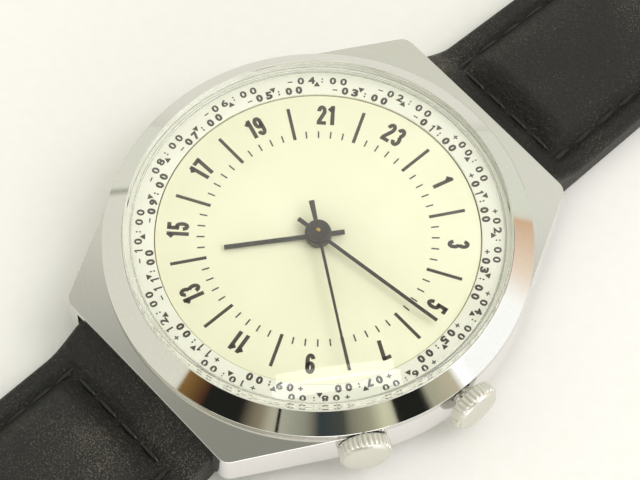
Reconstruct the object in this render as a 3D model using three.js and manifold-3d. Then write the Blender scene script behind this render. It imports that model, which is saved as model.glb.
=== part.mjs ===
// A 24-hour wristwatch with a turning ring of time zones, laid out flat on its case back.
// Millimetres, +Z up through the dial, +Y towards the 24 mark, +X along the winding stem.
import * as THREE from "three";
import { mergeVertices } from "three/addons/utils/BufferGeometryUtils.js";
import Module from "manifold-3d";

const wasm = await Module();
wasm.setup();

// Fits between pieces
const runFit = 0.03; // radial play of a piece that turns
const pressGap = 0.02; // gap of pieces pressed or laid together
const slideFit = 0.05; // play of a piece that slides
const shakeFit = 0.01; // gap of flat faces that are screwed together
const weld = 0.1; // overlap of two shapes that are joined into one piece
const pivotRadius = 0.14;
const through = 30; // longer than anything it cuts through

// Dial, zone ring and hands, from the dial outwards
const dialTop = 6.8; // over the surface that the watch lies on
const dialThick = 0.4;
const dialRadius = 14.62;
const dialHole = 1.05;
const dialPlay = 0.13; // of the dial and the movement holder in the case
const ringGap = 0.1;
const ringWidth = 2.58;
const ringSink = 0.18; // underside of the ring below the dial's face
const ringRise = 0.2; // top of the ring above the dial's face
const ringPlay = 0.08;
const ringTeeth = 45;
const ringToothWidth = 0.56; // share of the tooth pitch
const ringToothMargin = 0.68;
const ringToothLength = 1.1;
const ringToothDepth = 0.4;
const ringPitchDepth = 0.348; // pitch plane of the teeth below the ring's underside
const zonePinionTeeth = 5;
const zonePinionPlay = 0.1;
const zoneLeafTip = 0.22; // height of a leaf beyond the pitch circle
const zoneLeafRoot = 0.48;
const hourAngle = 213.4; // degrees clockwise from the 24 mark
const minuteAngle = 81.4;
const secondAngle = 120.7;
const hourReach = 8.5;
const minuteReach = 13.6;
const secondReach = 13.4;
const hourTail = 2.4;
const minuteTail = 2.3;
const secondTail = 3.15;
const hourWidths = [0.42, 0.42, 0.45]; // at the tip, the boss and the tail's end
const minuteWidths = [0.3, 0.32, 0.4];
const secondWidths = [0.2, 0.28, 0.52];
const bossRadius = 1.2;
const secondBossRadius = 1.1;
const handThick = 0.2;
const bossHeight = 0.34;
const handLift = 0.32; // hour hand over the dial
const handStep = 0.38; // from one hand to the next

// Bezel and crystal
const bezelSeat = 0.5; // bezel's inner wall outside the ring
const bezelWidth = 1.7;
const bezelWall = 0.97; // upright outer wall
const bezelRise = 2.27;
const bezelLip = 0.15;
const crystalRise = 0.58; // crystal's edge over the bezel
const crystalBulge = 1.35;
const crystalWall = 0.8;
const crystalThick = 1.1;

// Case
const strapWidth = 18;
const sideGap = 0.2; // between the strap and the notch that takes it
const endWall = 1.5; // metal beside a strap notch
const endStep = 1.2; // square ends beyond the round sides
const cornerRadius = 1.3;
const bezelProud = 0.05;
const caseDrop = 0.7; // case top at the bezel, below the dial's face
const caseSlope = 0.12;
const flankLow = 2.4;
const caseFoot = 1.4;
const footInset = 1.55;
const footBevel = 0.4;

// Case back
const backInset = 1.3; // inside the case's foot
const backSlope = 1.4;
const backThick = 1.0;
const backFlangeLow = 0.9;
const backRimInset = 0.4;
const backRimWidth = 0.8;
const backSeat = 2.2;
const gasketHeight = 0.4;
const backPlay = 0.1;

// Crowns
const crownRadius = 2.38;
const crownFlutes = 30;
const fluteDepth = 0.14;
const windingCrownGap = 0.5; // from the case's round side to the crown
const zoneCrownGap = 0.1;
const fluteLength = 1.15;
const crownDome = 0.6;
const crownCup = 0.65; // depth of the hollow that takes the tube
const zoneCrownAngle = -30;
const tubeRadius = 1.0;
const tubeReach = 0.35; // of a tube into its crown
const stemRadius = 0.6;
const crownPull = 0.9;

// Movement, with its heights from the dial down
const motionRoom = 0.65;
const plateRoof = 0.5;
const trainRoom = 1.75;
const plateRim = 0.527; // plate outside the barrel's teeth
const holderGap = 0.1;
const stemRise = 1.0; // stem's axis over the plate's low face
const bridgeThick = 0.5;
const wheelThick = 0.16;
const wheelGap = 0.06;
const trainModule = 0.136;
const centreTeeth = 64;
const thirdPinionTeeth = 8;
const thirdTeeth = 60;
const fourthPinionTeeth = 8;
const fourthTeeth = 70;
const escapePinionTeeth = 7;
const escapeTeeth = 15;
const escapeRadius = 2.1;
const barrelTeeth = 78;
const centrePinionTeeth = 12;
const barrelModule = 0.147;
const windModule = 0.18;
const ratchetTeeth = 40;
const crownWheelTeeth = 32;
const windPinionTeeth = 18;
const cannonTeeth = 10;
const minuteWheelTeeth = 40;
const minutePinionTeeth = 8;
const hourWheelTeeth = 48;
const motionDistance = 3.25;
const balanceRadius = 4.0;
const fourthModule = 0.12;

// Strap and buckle
const barInset = 1.75; // spring bar inside the case's square end
const barRadius = 0.75;
const barTipRadius = 0.4;
const barTipReach = 0.9; // of a bar's tip into the case
const barTipPlay = 0.15;
const strapEndWidth = 16;
const loopRadius = 1.95;
const hoodThick = 0.75; // metal over a strap notch
const strapGap = 0.2;
const strapThick = 2.25;
const strapFloor = 0.08;
const padHeight = 1.25;
const stitchMargin = 2.3;
const taperLength = 42;
const buckleSideLength = 75;
const tailLength = 115;
const buckleBarRadius = 0.75;
const buckleBarHeight = 1.4;
const buckleLoopRadius = 1.3;
const buckleWindow = 8.2;
const buckleWire = 1.8;
const buckleSideGap = 0.4;
const buckleHeel = 1.4;
const buckleCorner = 1.6;
const tongueWidth = 1.8;
const tongueEye = 0.5;
const tongueThick = 0.75;
const tongueTip = 0.5;
const tongueSlotPlay = 0.3;
const tongueSlotLength = 3.2;
const keeperThick = 0.9;
const keeperLength = 4.5;
const keeperLift = 1.0;
const keeperInset = 13.9; // fixed keeper from the buckle bar
const keeperStep = 10; // from the fixed keeper to the free one
const keeperPlay = 0.05;
const keeperRoom = 0.5;
const tailPadLength = 31.1;
const tailPadFade = 24;
const holeRadius = 0.9;
const holePitch = 6.5;
const holeCount = 7;
const firstHole = 24; // from the tail's tip
const tipLength = 9;
const tipRound = 1.5;

const degrees = Math.PI / 180;

// Steps of round shapes
const caseSteps = 40;
const drumSteps = 30;
const roomSteps = 20;
const postSteps = 12;
const pinSteps = 8;
const arcSteps = 10;
const ribbonSteps = 12;
const cornerSteps = 4;
const tipSteps = 6;

// Solids from three.js geometry

function solidOf(geometry) {
  const bare = geometry.clone();
  bare.deleteAttribute("normal");
  bare.deleteAttribute("uv");
  const merged = mergeVertices(bare, 1e-5);
  const build = (triVerts) =>
    new wasm.Manifold(
      new wasm.Mesh({
        numProp: 3,
        vertProperties: new Float32Array(merged.attributes.position.array),
        triVerts,
      }),
    );
  const triVerts = new Uint32Array(merged.index.array);
  const made = build(triVerts);
  return made.volume() < 0 ? build(triVerts.reverse()) : made;
}

function join(first, ...rest) {
  return rest.reduce((sum, piece) => sum.add(piece), first);
}

function cut(first, ...rest) {
  return rest.reduce((left, piece) => left.subtract(piece), first);
}

// A turned piece from (radius, height) points
function turned(profile, segments = drumSteps) {
  const points = profile.map(([r, z]) => new THREE.Vector2(r, z));
  return solidOf(
    new THREE.LatheGeometry(points, segments).rotateX(Math.PI / 2),
  );
}

function closed(profile) {
  return [...profile, profile[0]];
}

function disc(radius, low, high, segments = postSteps, x = 0, y = 0) {
  return turned(
    [
      [0, low],
      [radius, low],
      [radius, high],
      [0, high],
    ],
    segments,
  ).translate([x, y, 0]);
}

function ring(inner, outer, low, high, segments = drumSteps) {
  return turned(
    closed([
      [inner, low],
      [outer, low],
      [outer, high],
      [inner, high],
    ]),
    segments,
  );
}

function block(x0, x1, y0, y1, z0, z1) {
  return solidOf(
    new THREE.BoxGeometry(x1 - x0, y1 - y0, z1 - z0).translate(
      (x0 + x1) / 2,
      (y0 + y1) / 2,
      (z0 + z1) / 2,
    ),
  );
}

function plate(shape, low, high, curveSegments = cornerSteps) {
  const extruded = new THREE.ExtrudeGeometry(shape, {
    depth: high - low,
    bevelEnabled: false,
    curveSegments,
  });
  return solidOf(extruded.translate(0, 0, low));
}

function polygon(points) {
  return new THREE.Shape(points.map(([x, y]) => new THREE.Vector2(x, y)));
}

// A piece made round +Z, laid with its axis along +X at a stem's height
function alongStem(solid, height = stemHeight) {
  return solid.rotate([0, 90, 0]).translate([0, 0, height]);
}

// A round bar along +X from x0 to x1
function stemBar(radius, x0, x1, height = stemHeight) {
  return alongStem(disc(radius, x0, x1), height);
}

// A cross bar along X at a place in y and z
function crossBar(radius, halfLength, y, z, segments = postSteps) {
  return disc(radius, -halfLength, halfLength, segments)
    .rotate([0, 90, 0])
    .translate([0, y, z]);
}

function bar(from, to, width, low, high) {
  const dx = to[0] - from[0];
  const dy = to[1] - from[1];
  const length = Math.hypot(dx, dy);
  return block(0, length, -width / 2, width / 2, low, high)
    .rotate([0, 0, Math.atan2(dy, dx) / degrees])
    .translate([from[0], from[1], 0]);
}

// Gears, with heights and depths in modules

const toothHeight = 0.85;
const toothDepth = 1.15;
const fineTeeth = 18;

// Leaves with flat tips on a pinion, pointed teeth on a wheel
function gearShape(teeth, module) {
  const pitch = (2 * Math.PI) / teeth;
  const root = (module * teeth) / 2 - module * toothDepth;
  const tip = (module * teeth) / 2 + module * toothHeight;
  const leaf = [
    [root, -0.27],
    [tip, -0.12],
    [tip, 0.12],
    [root, 0.27],
  ];
  const point = [
    [root, -0.5],
    [tip, 0],
  ];
  const corners = teeth < fineTeeth ? leaf : point;
  const points = [];
  for (let i = 0; i < teeth; i += 1) {
    for (const [r, share] of corners) {
      const angle = (i + share) * pitch;
      points.push([r * Math.cos(angle), r * Math.sin(angle)]);
    }
  }
  return polygon(points);
}

function gear(teeth, module, low, high) {
  return plate(gearShape(teeth, module), low, high);
}

// Turn of the second gear that puts its gap on the first gear's tooth
function meshPhase(firstTeeth, firstPhase, secondTeeth, direction) {
  return (
    direction +
    Math.PI -
    (firstTeeth / secondTeeth) * (firstPhase - direction) -
    Math.PI / secondTeeth
  );
}

// The place at two given distances from two given places, on the left of the line between them
function meeting(a, ra, b, rb) {
  const dx = b[0] - a[0];
  const dy = b[1] - a[1];
  const d = Math.hypot(dx, dy);
  const along = (d * d + ra * ra - rb * rb) / (2 * d);
  const across = Math.sqrt(ra * ra - along * along);
  return [
    a[0] + (along * dx - across * dy) / d,
    a[1] + (along * dy + across * dx) / d,
  ];
}

function polar(radius, angle) {
  return [radius * Math.cos(angle), radius * Math.sin(angle)];
}

// A flat spiral ribbon of square-cut section
function ribbon(inner, outer, turns, thick, low, high) {
  const steps = turns * ribbonSteps;
  const outline = [];
  for (let i = 0; i <= steps; i += 1) {
    const t = i / steps;
    outline.push([
      inner + (outer - inner) * t + thick / 2,
      t * turns * 2 * Math.PI,
    ]);
  }
  const back = outline.map(([r, a]) => [r - thick, a]).reverse();
  const points = [...outline, ...back].map(([r, a]) => polar(r, a));
  return plate(polygon(points), low, high);
}

// Scene graph

const watch = new THREE.Group();

const steel = new THREE.MeshStandardMaterial({
  color: 0xc8c8c0,
  metalness: 1,
  roughness: 0.25,
});
const satin = new THREE.MeshStandardMaterial({
  color: 0xb4b4aa,
  metalness: 1,
  roughness: 0.45,
});
const brass = new THREE.MeshStandardMaterial({
  color: 0xc9a24a,
  metalness: 1,
  roughness: 0.35,
});
const cream = new THREE.MeshStandardMaterial({
  color: 0xfcfce1,
  roughness: 0.5,
});
const black = new THREE.MeshStandardMaterial({
  color: 0x2a2622,
  roughness: 0.4,
});
const leather = new THREE.MeshStandardMaterial({
  color: 0x22221e,
  roughness: 0.8,
});
const acrylic = new THREE.MeshStandardMaterial({
  color: 0xffffff,
  transparent: true,
  opacity: 0.3,
  roughness: 0.05,
});
const rubber = new THREE.MeshStandardMaterial({
  color: 0x1c1c1c,
  roughness: 0.9,
});

function place(name, solid, material, where = [0, 0, 0], turn = 0) {
  const made = solid.getMesh();
  const geometry = new THREE.BufferGeometry();
  geometry.setAttribute(
    "position",
    new THREE.BufferAttribute(new Float32Array(made.vertProperties), 3),
  );
  geometry.setIndex(new THREE.BufferAttribute(made.triVerts, 1));
  geometry.computeVertexNormals();
  const mesh = new THREE.Mesh(geometry, material);
  mesh.name = name;
  mesh.position.set(...where);
  mesh.rotation.z = turn;
  watch.add(mesh);
  return mesh;
}

// Places worked out from the sizes

const dialLow = dialTop - dialThick;
const ringInner = dialRadius + ringGap;
const ringOuter = ringInner + ringWidth;
const ringLow = dialTop - ringSink;
const ringTop = dialTop + ringRise;
const ringToothInner = ringInner + ringToothMargin;
const ringToothOuter = ringToothInner + ringToothLength;
const ringMeanRadius = (ringToothInner + ringToothOuter) / 2;
const zonePitchRadius = (ringMeanRadius * zonePinionTeeth) / ringTeeth;
const zoneHeight = ringLow - ringPitchDepth - zonePitchRadius;
const zoneDirection = zoneCrownAngle * degrees;
const hourHandLow = dialTop + handLift;
const minuteHandLow = hourHandLow + handStep;
const secondHandLow = minuteHandLow + handStep;

const caseTop = dialTop - caseDrop;
const bezelInner = ringOuter + bezelSeat;
const bezelRadius = bezelInner + bezelWidth;
const bezelShoulder = caseTop + bezelWall;
const bezelTop = caseTop + bezelRise;
const collarTop = ringTop;
const collarRadius = bezelInner - pressGap;
const crystalFoot = collarTop + pressGap;
const crystalRadius = bezelInner - pressGap;
const crystalEdge = bezelTop + crystalRise;
const crystalCrown = crystalEdge + crystalBulge;

const caseRadius = bezelRadius - bezelProud;
const notchHalfWidth = strapWidth / 2 + sideGap;
const notchTop = caseTop - hoodThick;
const endHalfWidth = notchHalfWidth + endWall;
const endReach = caseRadius + endStep;
const footRadius = caseRadius - footInset;
const barReach = endReach - barInset;
const barHeight = notchTop - strapGap - loopRadius;
const buckleBarY = barReach + buckleSideLength;
const tangentAngle =
  Math.atan2(endReach, endHalfWidth) -
  Math.acos(caseRadius / Math.hypot(endReach, endHalfWidth));

const backRadius = footRadius - backInset;
const backFlat = backRadius - backSlope;
const backRimOuter = backRadius - backRimInset;
const backRimInner = backRimOuter - backRimWidth;

const windingCrownStart = caseRadius + windingCrownGap;
const zoneCrownStart = caseRadius + zoneCrownGap;
const tubeInner = stemRadius + runFit;

const plateTop = dialLow - motionRoom;
const recessTop = plateTop - plateRoof;
const plateLow = recessTop - trainRoom;
const bridgeLow = plateLow - bridgeThick;
const stemHeight = plateLow + stemRise;

const trainDistance = ((centreTeeth + thirdPinionTeeth) / 2) * trainModule;
const thirdModule = (2 * trainDistance) / (thirdTeeth + fourthPinionTeeth);
const escapeDistance =
  ((fourthTeeth + escapePinionTeeth) / 2) * fourthModule;
const thirdDirection = 205 * degrees;
const escapeDirection = -60 * degrees;
const thirdPlace = polar(trainDistance, thirdDirection);
const escapePlace = polar(escapeDistance, escapeDirection);
const balancePlace = [-1.6, -8.4];
const forkShare = 0.492; // lever's pivot along the line from escape wheel to balance
const forkPlace = [
  escapePlace[0] + forkShare * (balancePlace[0] - escapePlace[0]),
  escapePlace[1] + forkShare * (balancePlace[1] - escapePlace[1]),
];
const crownWheelPlace = [5.4, 0];
const barrelDistance = ((barrelTeeth + centrePinionTeeth) / 2) * barrelModule;
const ratchetDistance = ((ratchetTeeth + crownWheelTeeth) / 2) * windModule;
const barrelPlace = meeting(
  [0, 0],
  barrelDistance,
  crownWheelPlace,
  ratchetDistance,
);
const minuteWheelDirection = -20 * degrees;
const minuteWheelPlace = polar(motionDistance, minuteWheelDirection);
const cannonModule = (2 * motionDistance) / (cannonTeeth + minuteWheelTeeth);
const hourModule =
  (2 * motionDistance) / (minutePinionTeeth + hourWheelTeeth);
const windMeshX = crownWheelPlace[0] + (crownWheelTeeth * windModule) / 2;
const movementRadius =
  barrelDistance + (barrelTeeth / 2 + toothHeight) * barrelModule + plateRim;
const holderInner = movementRadius + holderGap;
const holderOuter = dialRadius + dialPlay;

// Case

function arc(cx, cy, radius, from, to, steps) {
  const points = [];
  for (let i = 0; i <= steps; i += 1) {
    const [x, y] = polar(radius, from + ((to - from) * i) / steps);
    points.push([cx + x, cy + y]);
  }
  return points;
}

// Round sides whose tangents run to square ends with small corners
function caseOutline() {
  const turn = tangentAngle;
  const half = Math.PI / 2;
  const cy = endReach - cornerRadius;
  const cx =
    (caseRadius - cornerRadius - cy * Math.sin(turn)) / Math.cos(turn);
  return polygon([
    ...arc(0, 0, caseRadius, -turn, turn, arcSteps),
    ...arc(cx, cy, cornerRadius, turn, half, cornerSteps),
    ...arc(-cx, cy, cornerRadius, half, 2 * half - turn, cornerSteps),
    ...arc(0, 0, caseRadius, 2 * half - turn, 2 * half + turn, arcSteps),
    ...arc(-cx, -cy, cornerRadius, 2 * half + turn, 3 * half, cornerSteps),
    ...arc(cx, -cy, cornerRadius, 3 * half, 4 * half - turn, cornerSteps),
  ]);
}

function makeCase() {
  const topCone = turned(
    [
      [0, 0],
      [through, 0],
      [through, caseTop - (through - bezelRadius) * caseSlope],
      [bezelRadius, caseTop],
      [collarRadius, caseTop],
      [collarRadius, collarTop],
      [0, collarTop],
    ],
    caseSteps,
  );
  const body = plate(caseOutline(), flankLow, collarTop + 1).intersect(
    topCone,
  );
  const foot = turned(
    [
      [0, caseFoot],
      [footRadius - footBevel, caseFoot],
      [footRadius, caseFoot + footBevel],
      [footRadius, flankLow + footBevel],
      [0, flankLow + footBevel],
    ],
    caseSteps,
  );
  const ledge = ringLow - pressGap;
  const bore = turned(
    [
      [0, 0],
      [backRimOuter + backPlay, 0],
      [backRimOuter + backPlay, backSeat],
      [holderOuter, backSeat],
      [holderOuter, ledge],
      [ringOuter + ringPlay, ledge],
      [ringOuter + ringPlay, collarTop + 1],
      [0, collarTop + 1],
    ],
    caseSteps,
  );
  const toothRoom = 0.2;
  const groove = ring(
    ringToothInner - toothRoom,
    ringToothOuter + toothRoom,
    ringLow - ringToothDepth - toothRoom,
    ringLow,
    caseSteps,
  );
  const notch = block(
    -notchHalfWidth,
    notchHalfWidth,
    barReach - loopRadius - strapGap,
    endReach + 1,
    0,
    notchTop,
  );
  const barHole = crossBar(
    barTipRadius + slideFit,
    notchHalfWidth + barTipReach + barTipPlay,
    barReach,
    barHeight,
  );
  const pinionRoom = zonePitchRadius + zoneLeafTip + toothRoom;
  const zonePocket = block(
    ringToothInner - zonePinionPlay - toothRoom,
    ringToothOuter + zonePinionPlay + toothRoom,
    -pinionRoom,
    pinionRoom,
    zoneHeight - pinionRoom,
    ringLow,
  );
  const tubeBore = tubeRadius + pressGap;
  return cut(
    join(body, foot),
    bore,
    groove,
    notch,
    notch.rotate([0, 0, 180]),
    barHole,
    barHole.rotate([0, 0, 180]),
    stemBar(tubeBore, holderInner, through),
    stemBar(tubeBore, ringToothOuter, through, zoneHeight).rotate([0, 0, zoneCrownAngle]),
    zonePocket.rotate([0, 0, zoneCrownAngle]),
  );
}

function makeBezel() {
  return turned(
    closed([
      [bezelInner, caseTop + pressGap],
      [bezelRadius, caseTop + pressGap],
      [bezelRadius, bezelShoulder],
      [bezelInner + bezelLip, bezelTop],
      [bezelInner, bezelTop],
    ]),
    caseSteps,
  );
}

// Domed crystal with an upright wall
function makeCrystal() {
  const inner = crystalRadius - crystalWall;
  const innerEdge = crystalEdge - crystalThick;
  const innerCrown = crystalCrown - crystalThick;
  const dome = (radius, edge, crown, share) => [
    radius * share,
    edge + (crown - edge) * (1 - share * share),
  ];
  const shares = [0.97, 0.75, 0.45]; // of the radius, from the edge inwards
  const edgeBevel = 0.25;
  const outside = shares.map((s) =>
    dome(crystalRadius, crystalEdge, crystalCrown, s),
  );
  const inside = shares.map((s) => dome(inner, innerEdge, innerCrown, s));
  return turned(
    [
      [0, innerCrown],
      ...inside.reverse(),
      [inner, innerEdge - edgeBevel],
      [inner, crystalFoot],
      [crystalRadius, crystalFoot],
      [crystalRadius, crystalEdge - edgeBevel],
      ...outside,
      [0, crystalCrown],
    ],
    caseSteps,
  );
}

// A flat ring with radial teeth of three-cornered section underneath
function makeZoneRing() {
  const plateRing = ring(ringInner, ringOuter, ringLow, ringTop, ringTeeth);
  const rootHalf = (ringToothWidth * Math.PI) / ringTeeth;
  const low = ringLow - ringToothDepth;
  const high = ringLow + weld;
  const teeth = [];
  for (let i = 0; i < ringTeeth; i += 1) {
    const corners = [];
    for (const r of [ringToothInner, ringToothOuter]) {
      corners.push([r, 0, low]);
      corners.push([...polar(r, rootHalf), high]);
      corners.push([...polar(r, -rootHalf), high]);
    }
    teeth.push(wedge(corners).rotate([0, 0, ((i + 0.5) * 360) / ringTeeth]));
  }
  return join(plateRing, ...teeth);
}

// A three-cornered bar from its inner three and outer three corners
function wedge(corners) {
  const geometry = new THREE.BufferGeometry();
  geometry.setAttribute(
    "position",
    new THREE.BufferAttribute(new Float32Array(corners.flat()), 3),
  );
  geometry.setIndex([
    0, 2, 1, 3, 4, 5, 0, 1, 4, 0, 4, 3, 1, 2, 5, 1, 5, 4, 2, 0, 3, 2, 3, 5,
  ]);
  return solidOf(geometry);
}

place("case_middle", makeCase(), satin);
place("bezel", makeBezel(), steel);
place("crystal", makeCrystal(), acrylic);
place("zone_ring", makeZoneRing(), cream, [0, 0, 0], zoneDirection);

// Case back and its gasket

const gasketMargin = 0.1;
place(
  "case_back",
  turned(
    [
      [0, 0],
      [backFlat, 0],
      [backRadius, backFlangeLow],
      [backRadius, caseFoot - pressGap],
      [backRimOuter, caseFoot - pressGap],
      [backRimOuter, backSeat - gasketHeight],
      [backRimInner, backSeat - gasketHeight],
      [backRimInner, backThick],
      [0, backThick],
    ],
    caseSteps,
  ),
  satin,
);
place(
  "back_gasket",
  ring(
    backRimInner + gasketMargin,
    backRimOuter - gasketMargin,
    backSeat - gasketHeight + pressGap,
    backSeat - pressGap,
    caseSteps,
  ),
  rubber,
);

// Dial with its two feet

const dialFootReach = movementRadius - 0.8;
const dialFootPlaces = [150, -115].map((angle) => polar(dialFootReach, angle * degrees));
const dialFootRadius = 0.35;
const dialFootLength = 1.5;
const dialFeet = dialFootPlaces.map(([x, y]) =>
  disc(dialFootRadius, dialLow - dialFootLength, dialLow + weld, pinSteps, x, y),
);
place(
  "dial",
  cut(
    join(disc(dialRadius, dialLow, dialTop, caseSteps), ...dialFeet),
    disc(dialHole, 0, through),
  ),
  cream,
);

// Hands and the tubes they are pressed on

const secondArbor = 0.15;
const centreTubeInner = secondArbor + slideFit;
const centreTubeOuter = 0.38;
const cannonInner = centreTubeOuter + runFit;
const cannonOuter = 0.58;
const hourPipeInner = cannonOuter + runFit;
const hourPipeOuter = 0.8;

// A straight hand pointing along +Y, with a tail and a round boss
function hand(low, tip, tail, widths, boss) {
  const [tipWidth, bossWidth, tailWidth] = widths;
  const blade = plate(
    polygon([
      [-tailWidth / 2, -tail],
      [tailWidth / 2, -tail],
      [bossWidth / 2, 0],
      [tipWidth / 2, tip],
      [-tipWidth / 2, tip],
      [-bossWidth / 2, 0],
    ]),
    low,
    low + handThick,
  );
  return join(blade, disc(boss, low, low + bossHeight, roomSteps));
}

const hourBlade = hand(hourHandLow, hourReach, hourTail, hourWidths, bossRadius);
const minuteBlade = hand(minuteHandLow, minuteReach, minuteTail, minuteWidths, bossRadius);
const secondBlade = hand(
  secondHandLow,
  secondReach,
  secondTail,
  secondWidths,
  secondBossRadius,
);
const secondPin = disc(0.2, secondHandLow, secondHandLow + bossHeight + 0.12);
place(
  "hour_hand",
  cut(hourBlade, disc(hourPipeOuter + slideFit, 0, through)),
  black,
  [0, 0, 0],
  -hourAngle * degrees,
);
place(
  "minute_hand",
  cut(minuteBlade, disc(cannonOuter + slideFit, 0, through)),
  black,
  [0, 0, 0],
  -minuteAngle * degrees,
);
place(
  "second_hand",
  join(secondBlade, secondPin),
  black,
  [0, 0, 0],
  -secondAngle * degrees,
);

// Motion work under the dial

const minuteWheelLow = plateTop + slideFit;
const hourWheelLow = minuteWheelLow + wheelThick + wheelGap;
const minuteWheelPhase = meshPhase(
  cannonTeeth,
  0,
  minuteWheelTeeth,
  minuteWheelDirection,
);
place(
  "cannon_pinion",
  cut(
    join(
      gear(cannonTeeth, cannonModule, minuteWheelLow, minuteWheelLow + wheelThick),
      disc(cannonOuter, minuteWheelLow, minuteHandLow + handThick),
    ),
    disc(cannonInner, 0, through),
  ),
  steel,
);
place(
  "minute_wheel",
  cut(
    join(
      gear(
        minuteWheelTeeth,
        cannonModule,
        minuteWheelLow,
        minuteWheelLow + wheelThick,
      ),
      gear(
        minutePinionTeeth,
        hourModule,
        minuteWheelLow,
        hourWheelLow + wheelThick,
      ),
    ),
    disc(pivotRadius + runFit, 0, through, pinSteps),
  ),
  brass,
  [...minuteWheelPlace, 0],
  minuteWheelPhase,
);
place(
  "hour_wheel",
  cut(
    join(
      gear(hourWheelTeeth, hourModule, hourWheelLow, hourWheelLow + wheelThick),
      disc(hourPipeOuter, hourWheelLow, hourHandLow + handThick),
    ),
    disc(hourPipeInner, 0, through),
  ),
  brass,
  [0, 0, 0],
  meshPhase(
    minutePinionTeeth,
    minuteWheelPhase,
    hourWheelTeeth,
    minuteWheelDirection + Math.PI,
  ),
);

// Going train

const fourthWheelLow = plateLow + 0.08;
const thirdWheelLow = fourthWheelLow + wheelThick + 0.1;
const barrelLow = plateLow + 0.32;
const barrelTop = barrelLow + 1.06;
const centreWheelLow = barrelTop + wheelGap;
const centrePinionLow = centreWheelLow - 0.49;
const escapeLow = plateLow + 0.9;
const pivotIn = 0.35; // how far a pivot runs into plate or bridge
const arborRadius = 0.2;
const endShake = 0.04;

function arbor() {
  return join(
    disc(arborRadius, plateLow + endShake, recessTop - endShake, pinSteps),
    disc(pivotRadius, plateLow - pivotIn, recessTop + pivotIn, pinSteps),
  );
}

const fourthPinion = gear(
  fourthPinionTeeth,
  thirdModule,
  fourthWheelLow,
  thirdWheelLow + wheelThick + wheelGap,
);
place(
  "fourth_wheel",
  join(
    gear(fourthTeeth, fourthModule, fourthWheelLow, fourthWheelLow + wheelThick),
    fourthPinion,
    disc(secondArbor, plateLow - pivotIn, secondHandLow - pressGap, pinSteps),
  ),
  brass,
);
const thirdPhase = meshPhase(fourthPinionTeeth, 0, thirdTeeth, thirdDirection);
place(
  "third_wheel",
  join(
    gear(thirdTeeth, thirdModule, thirdWheelLow, thirdWheelLow + wheelThick),
    gear(
      thirdPinionTeeth,
      trainModule,
      centreWheelLow - endShake,
      centreWheelLow + wheelThick + endShake,
    ),
    arbor(),
  ),
  brass,
  [...thirdPlace, 0],
  thirdPhase,
);
const centrePhase = meshPhase(
  thirdPinionTeeth,
  thirdPhase,
  centreTeeth,
  thirdDirection + Math.PI,
);
place(
  "centre_wheel",
  cut(
    join(
      gear(centreTeeth, trainModule, centreWheelLow, centreWheelLow + wheelThick),
      gear(centrePinionTeeth, barrelModule, centrePinionLow, centreWheelLow + weld),
      disc(centreTubeOuter, centrePinionLow, minuteHandLow + handThick),
    ),
    disc(centreTubeInner, 0, through),
  ),
  brass,
  [0, 0, 0],
  centrePhase,
);

function escapeWheel() {
  const points = [];
  const rootShare = 0.78;
  for (let i = 0; i < escapeTeeth; i += 1) {
    const pitch = (2 * Math.PI) / escapeTeeth;
    points.push(polar(escapeRadius * rootShare, i * pitch));
    points.push(polar(escapeRadius, (i + 0.42) * pitch));
    points.push(polar(escapeRadius * 0.97, (i + 0.56) * pitch));
    points.push(polar(escapeRadius * rootShare, (i + 0.45) * pitch));
  }
  return polygon(points);
}

place(
  "escape_wheel",
  join(
    plate(escapeWheel(), escapeLow, escapeLow + wheelThick),
    gear(
      escapePinionTeeth,
      fourthModule,
      fourthWheelLow - endShake,
      fourthWheelLow + wheelThick + endShake,
    ),
    arbor(),
  ),
  steel,
  [...escapePlace, 0],
  meshPhase(fourthTeeth, 0, escapePinionTeeth, escapeDirection),
);

// Lever: two pallets reach the escape wheel, the forked tail reaches the balance roller
const forkDirection = Math.atan2(
  balancePlace[1] - escapePlace[1],
  balancePlace[0] - escapePlace[0],
);
const forkLow = escapeLow - 0.02;
const forkHigh = forkLow + 0.2;
const forkWidth = 0.35;
const palletReach = 1.7;
const palletWidth = 0.22;
const palletLength = 0.75;
const rollerPinReach = 0.55;
const forkReach =
  (1 - forkShare) *
  Math.hypot(
    balancePlace[0] - escapePlace[0],
    balancePlace[1] - escapePlace[1],
  );

function pallet(side) {
  const from = [0, side * (palletReach - weld)];
  const to = [-palletLength, side * (palletReach + slideFit)];
  return bar(from, to, palletWidth, forkLow, forkHigh);
}

place(
  "pallet_fork",
  join(
    bar([0, 0], [forkReach - rollerPinReach - 0.25, 0], forkWidth, forkLow, forkHigh),
    bar([0, -palletReach], [0, palletReach], forkWidth, forkLow, forkHigh),
    pallet(1),
    pallet(-1),
    arbor(),
  ),
  steel,
  [...forkPlace, 0],
  forkDirection,
);

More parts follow.
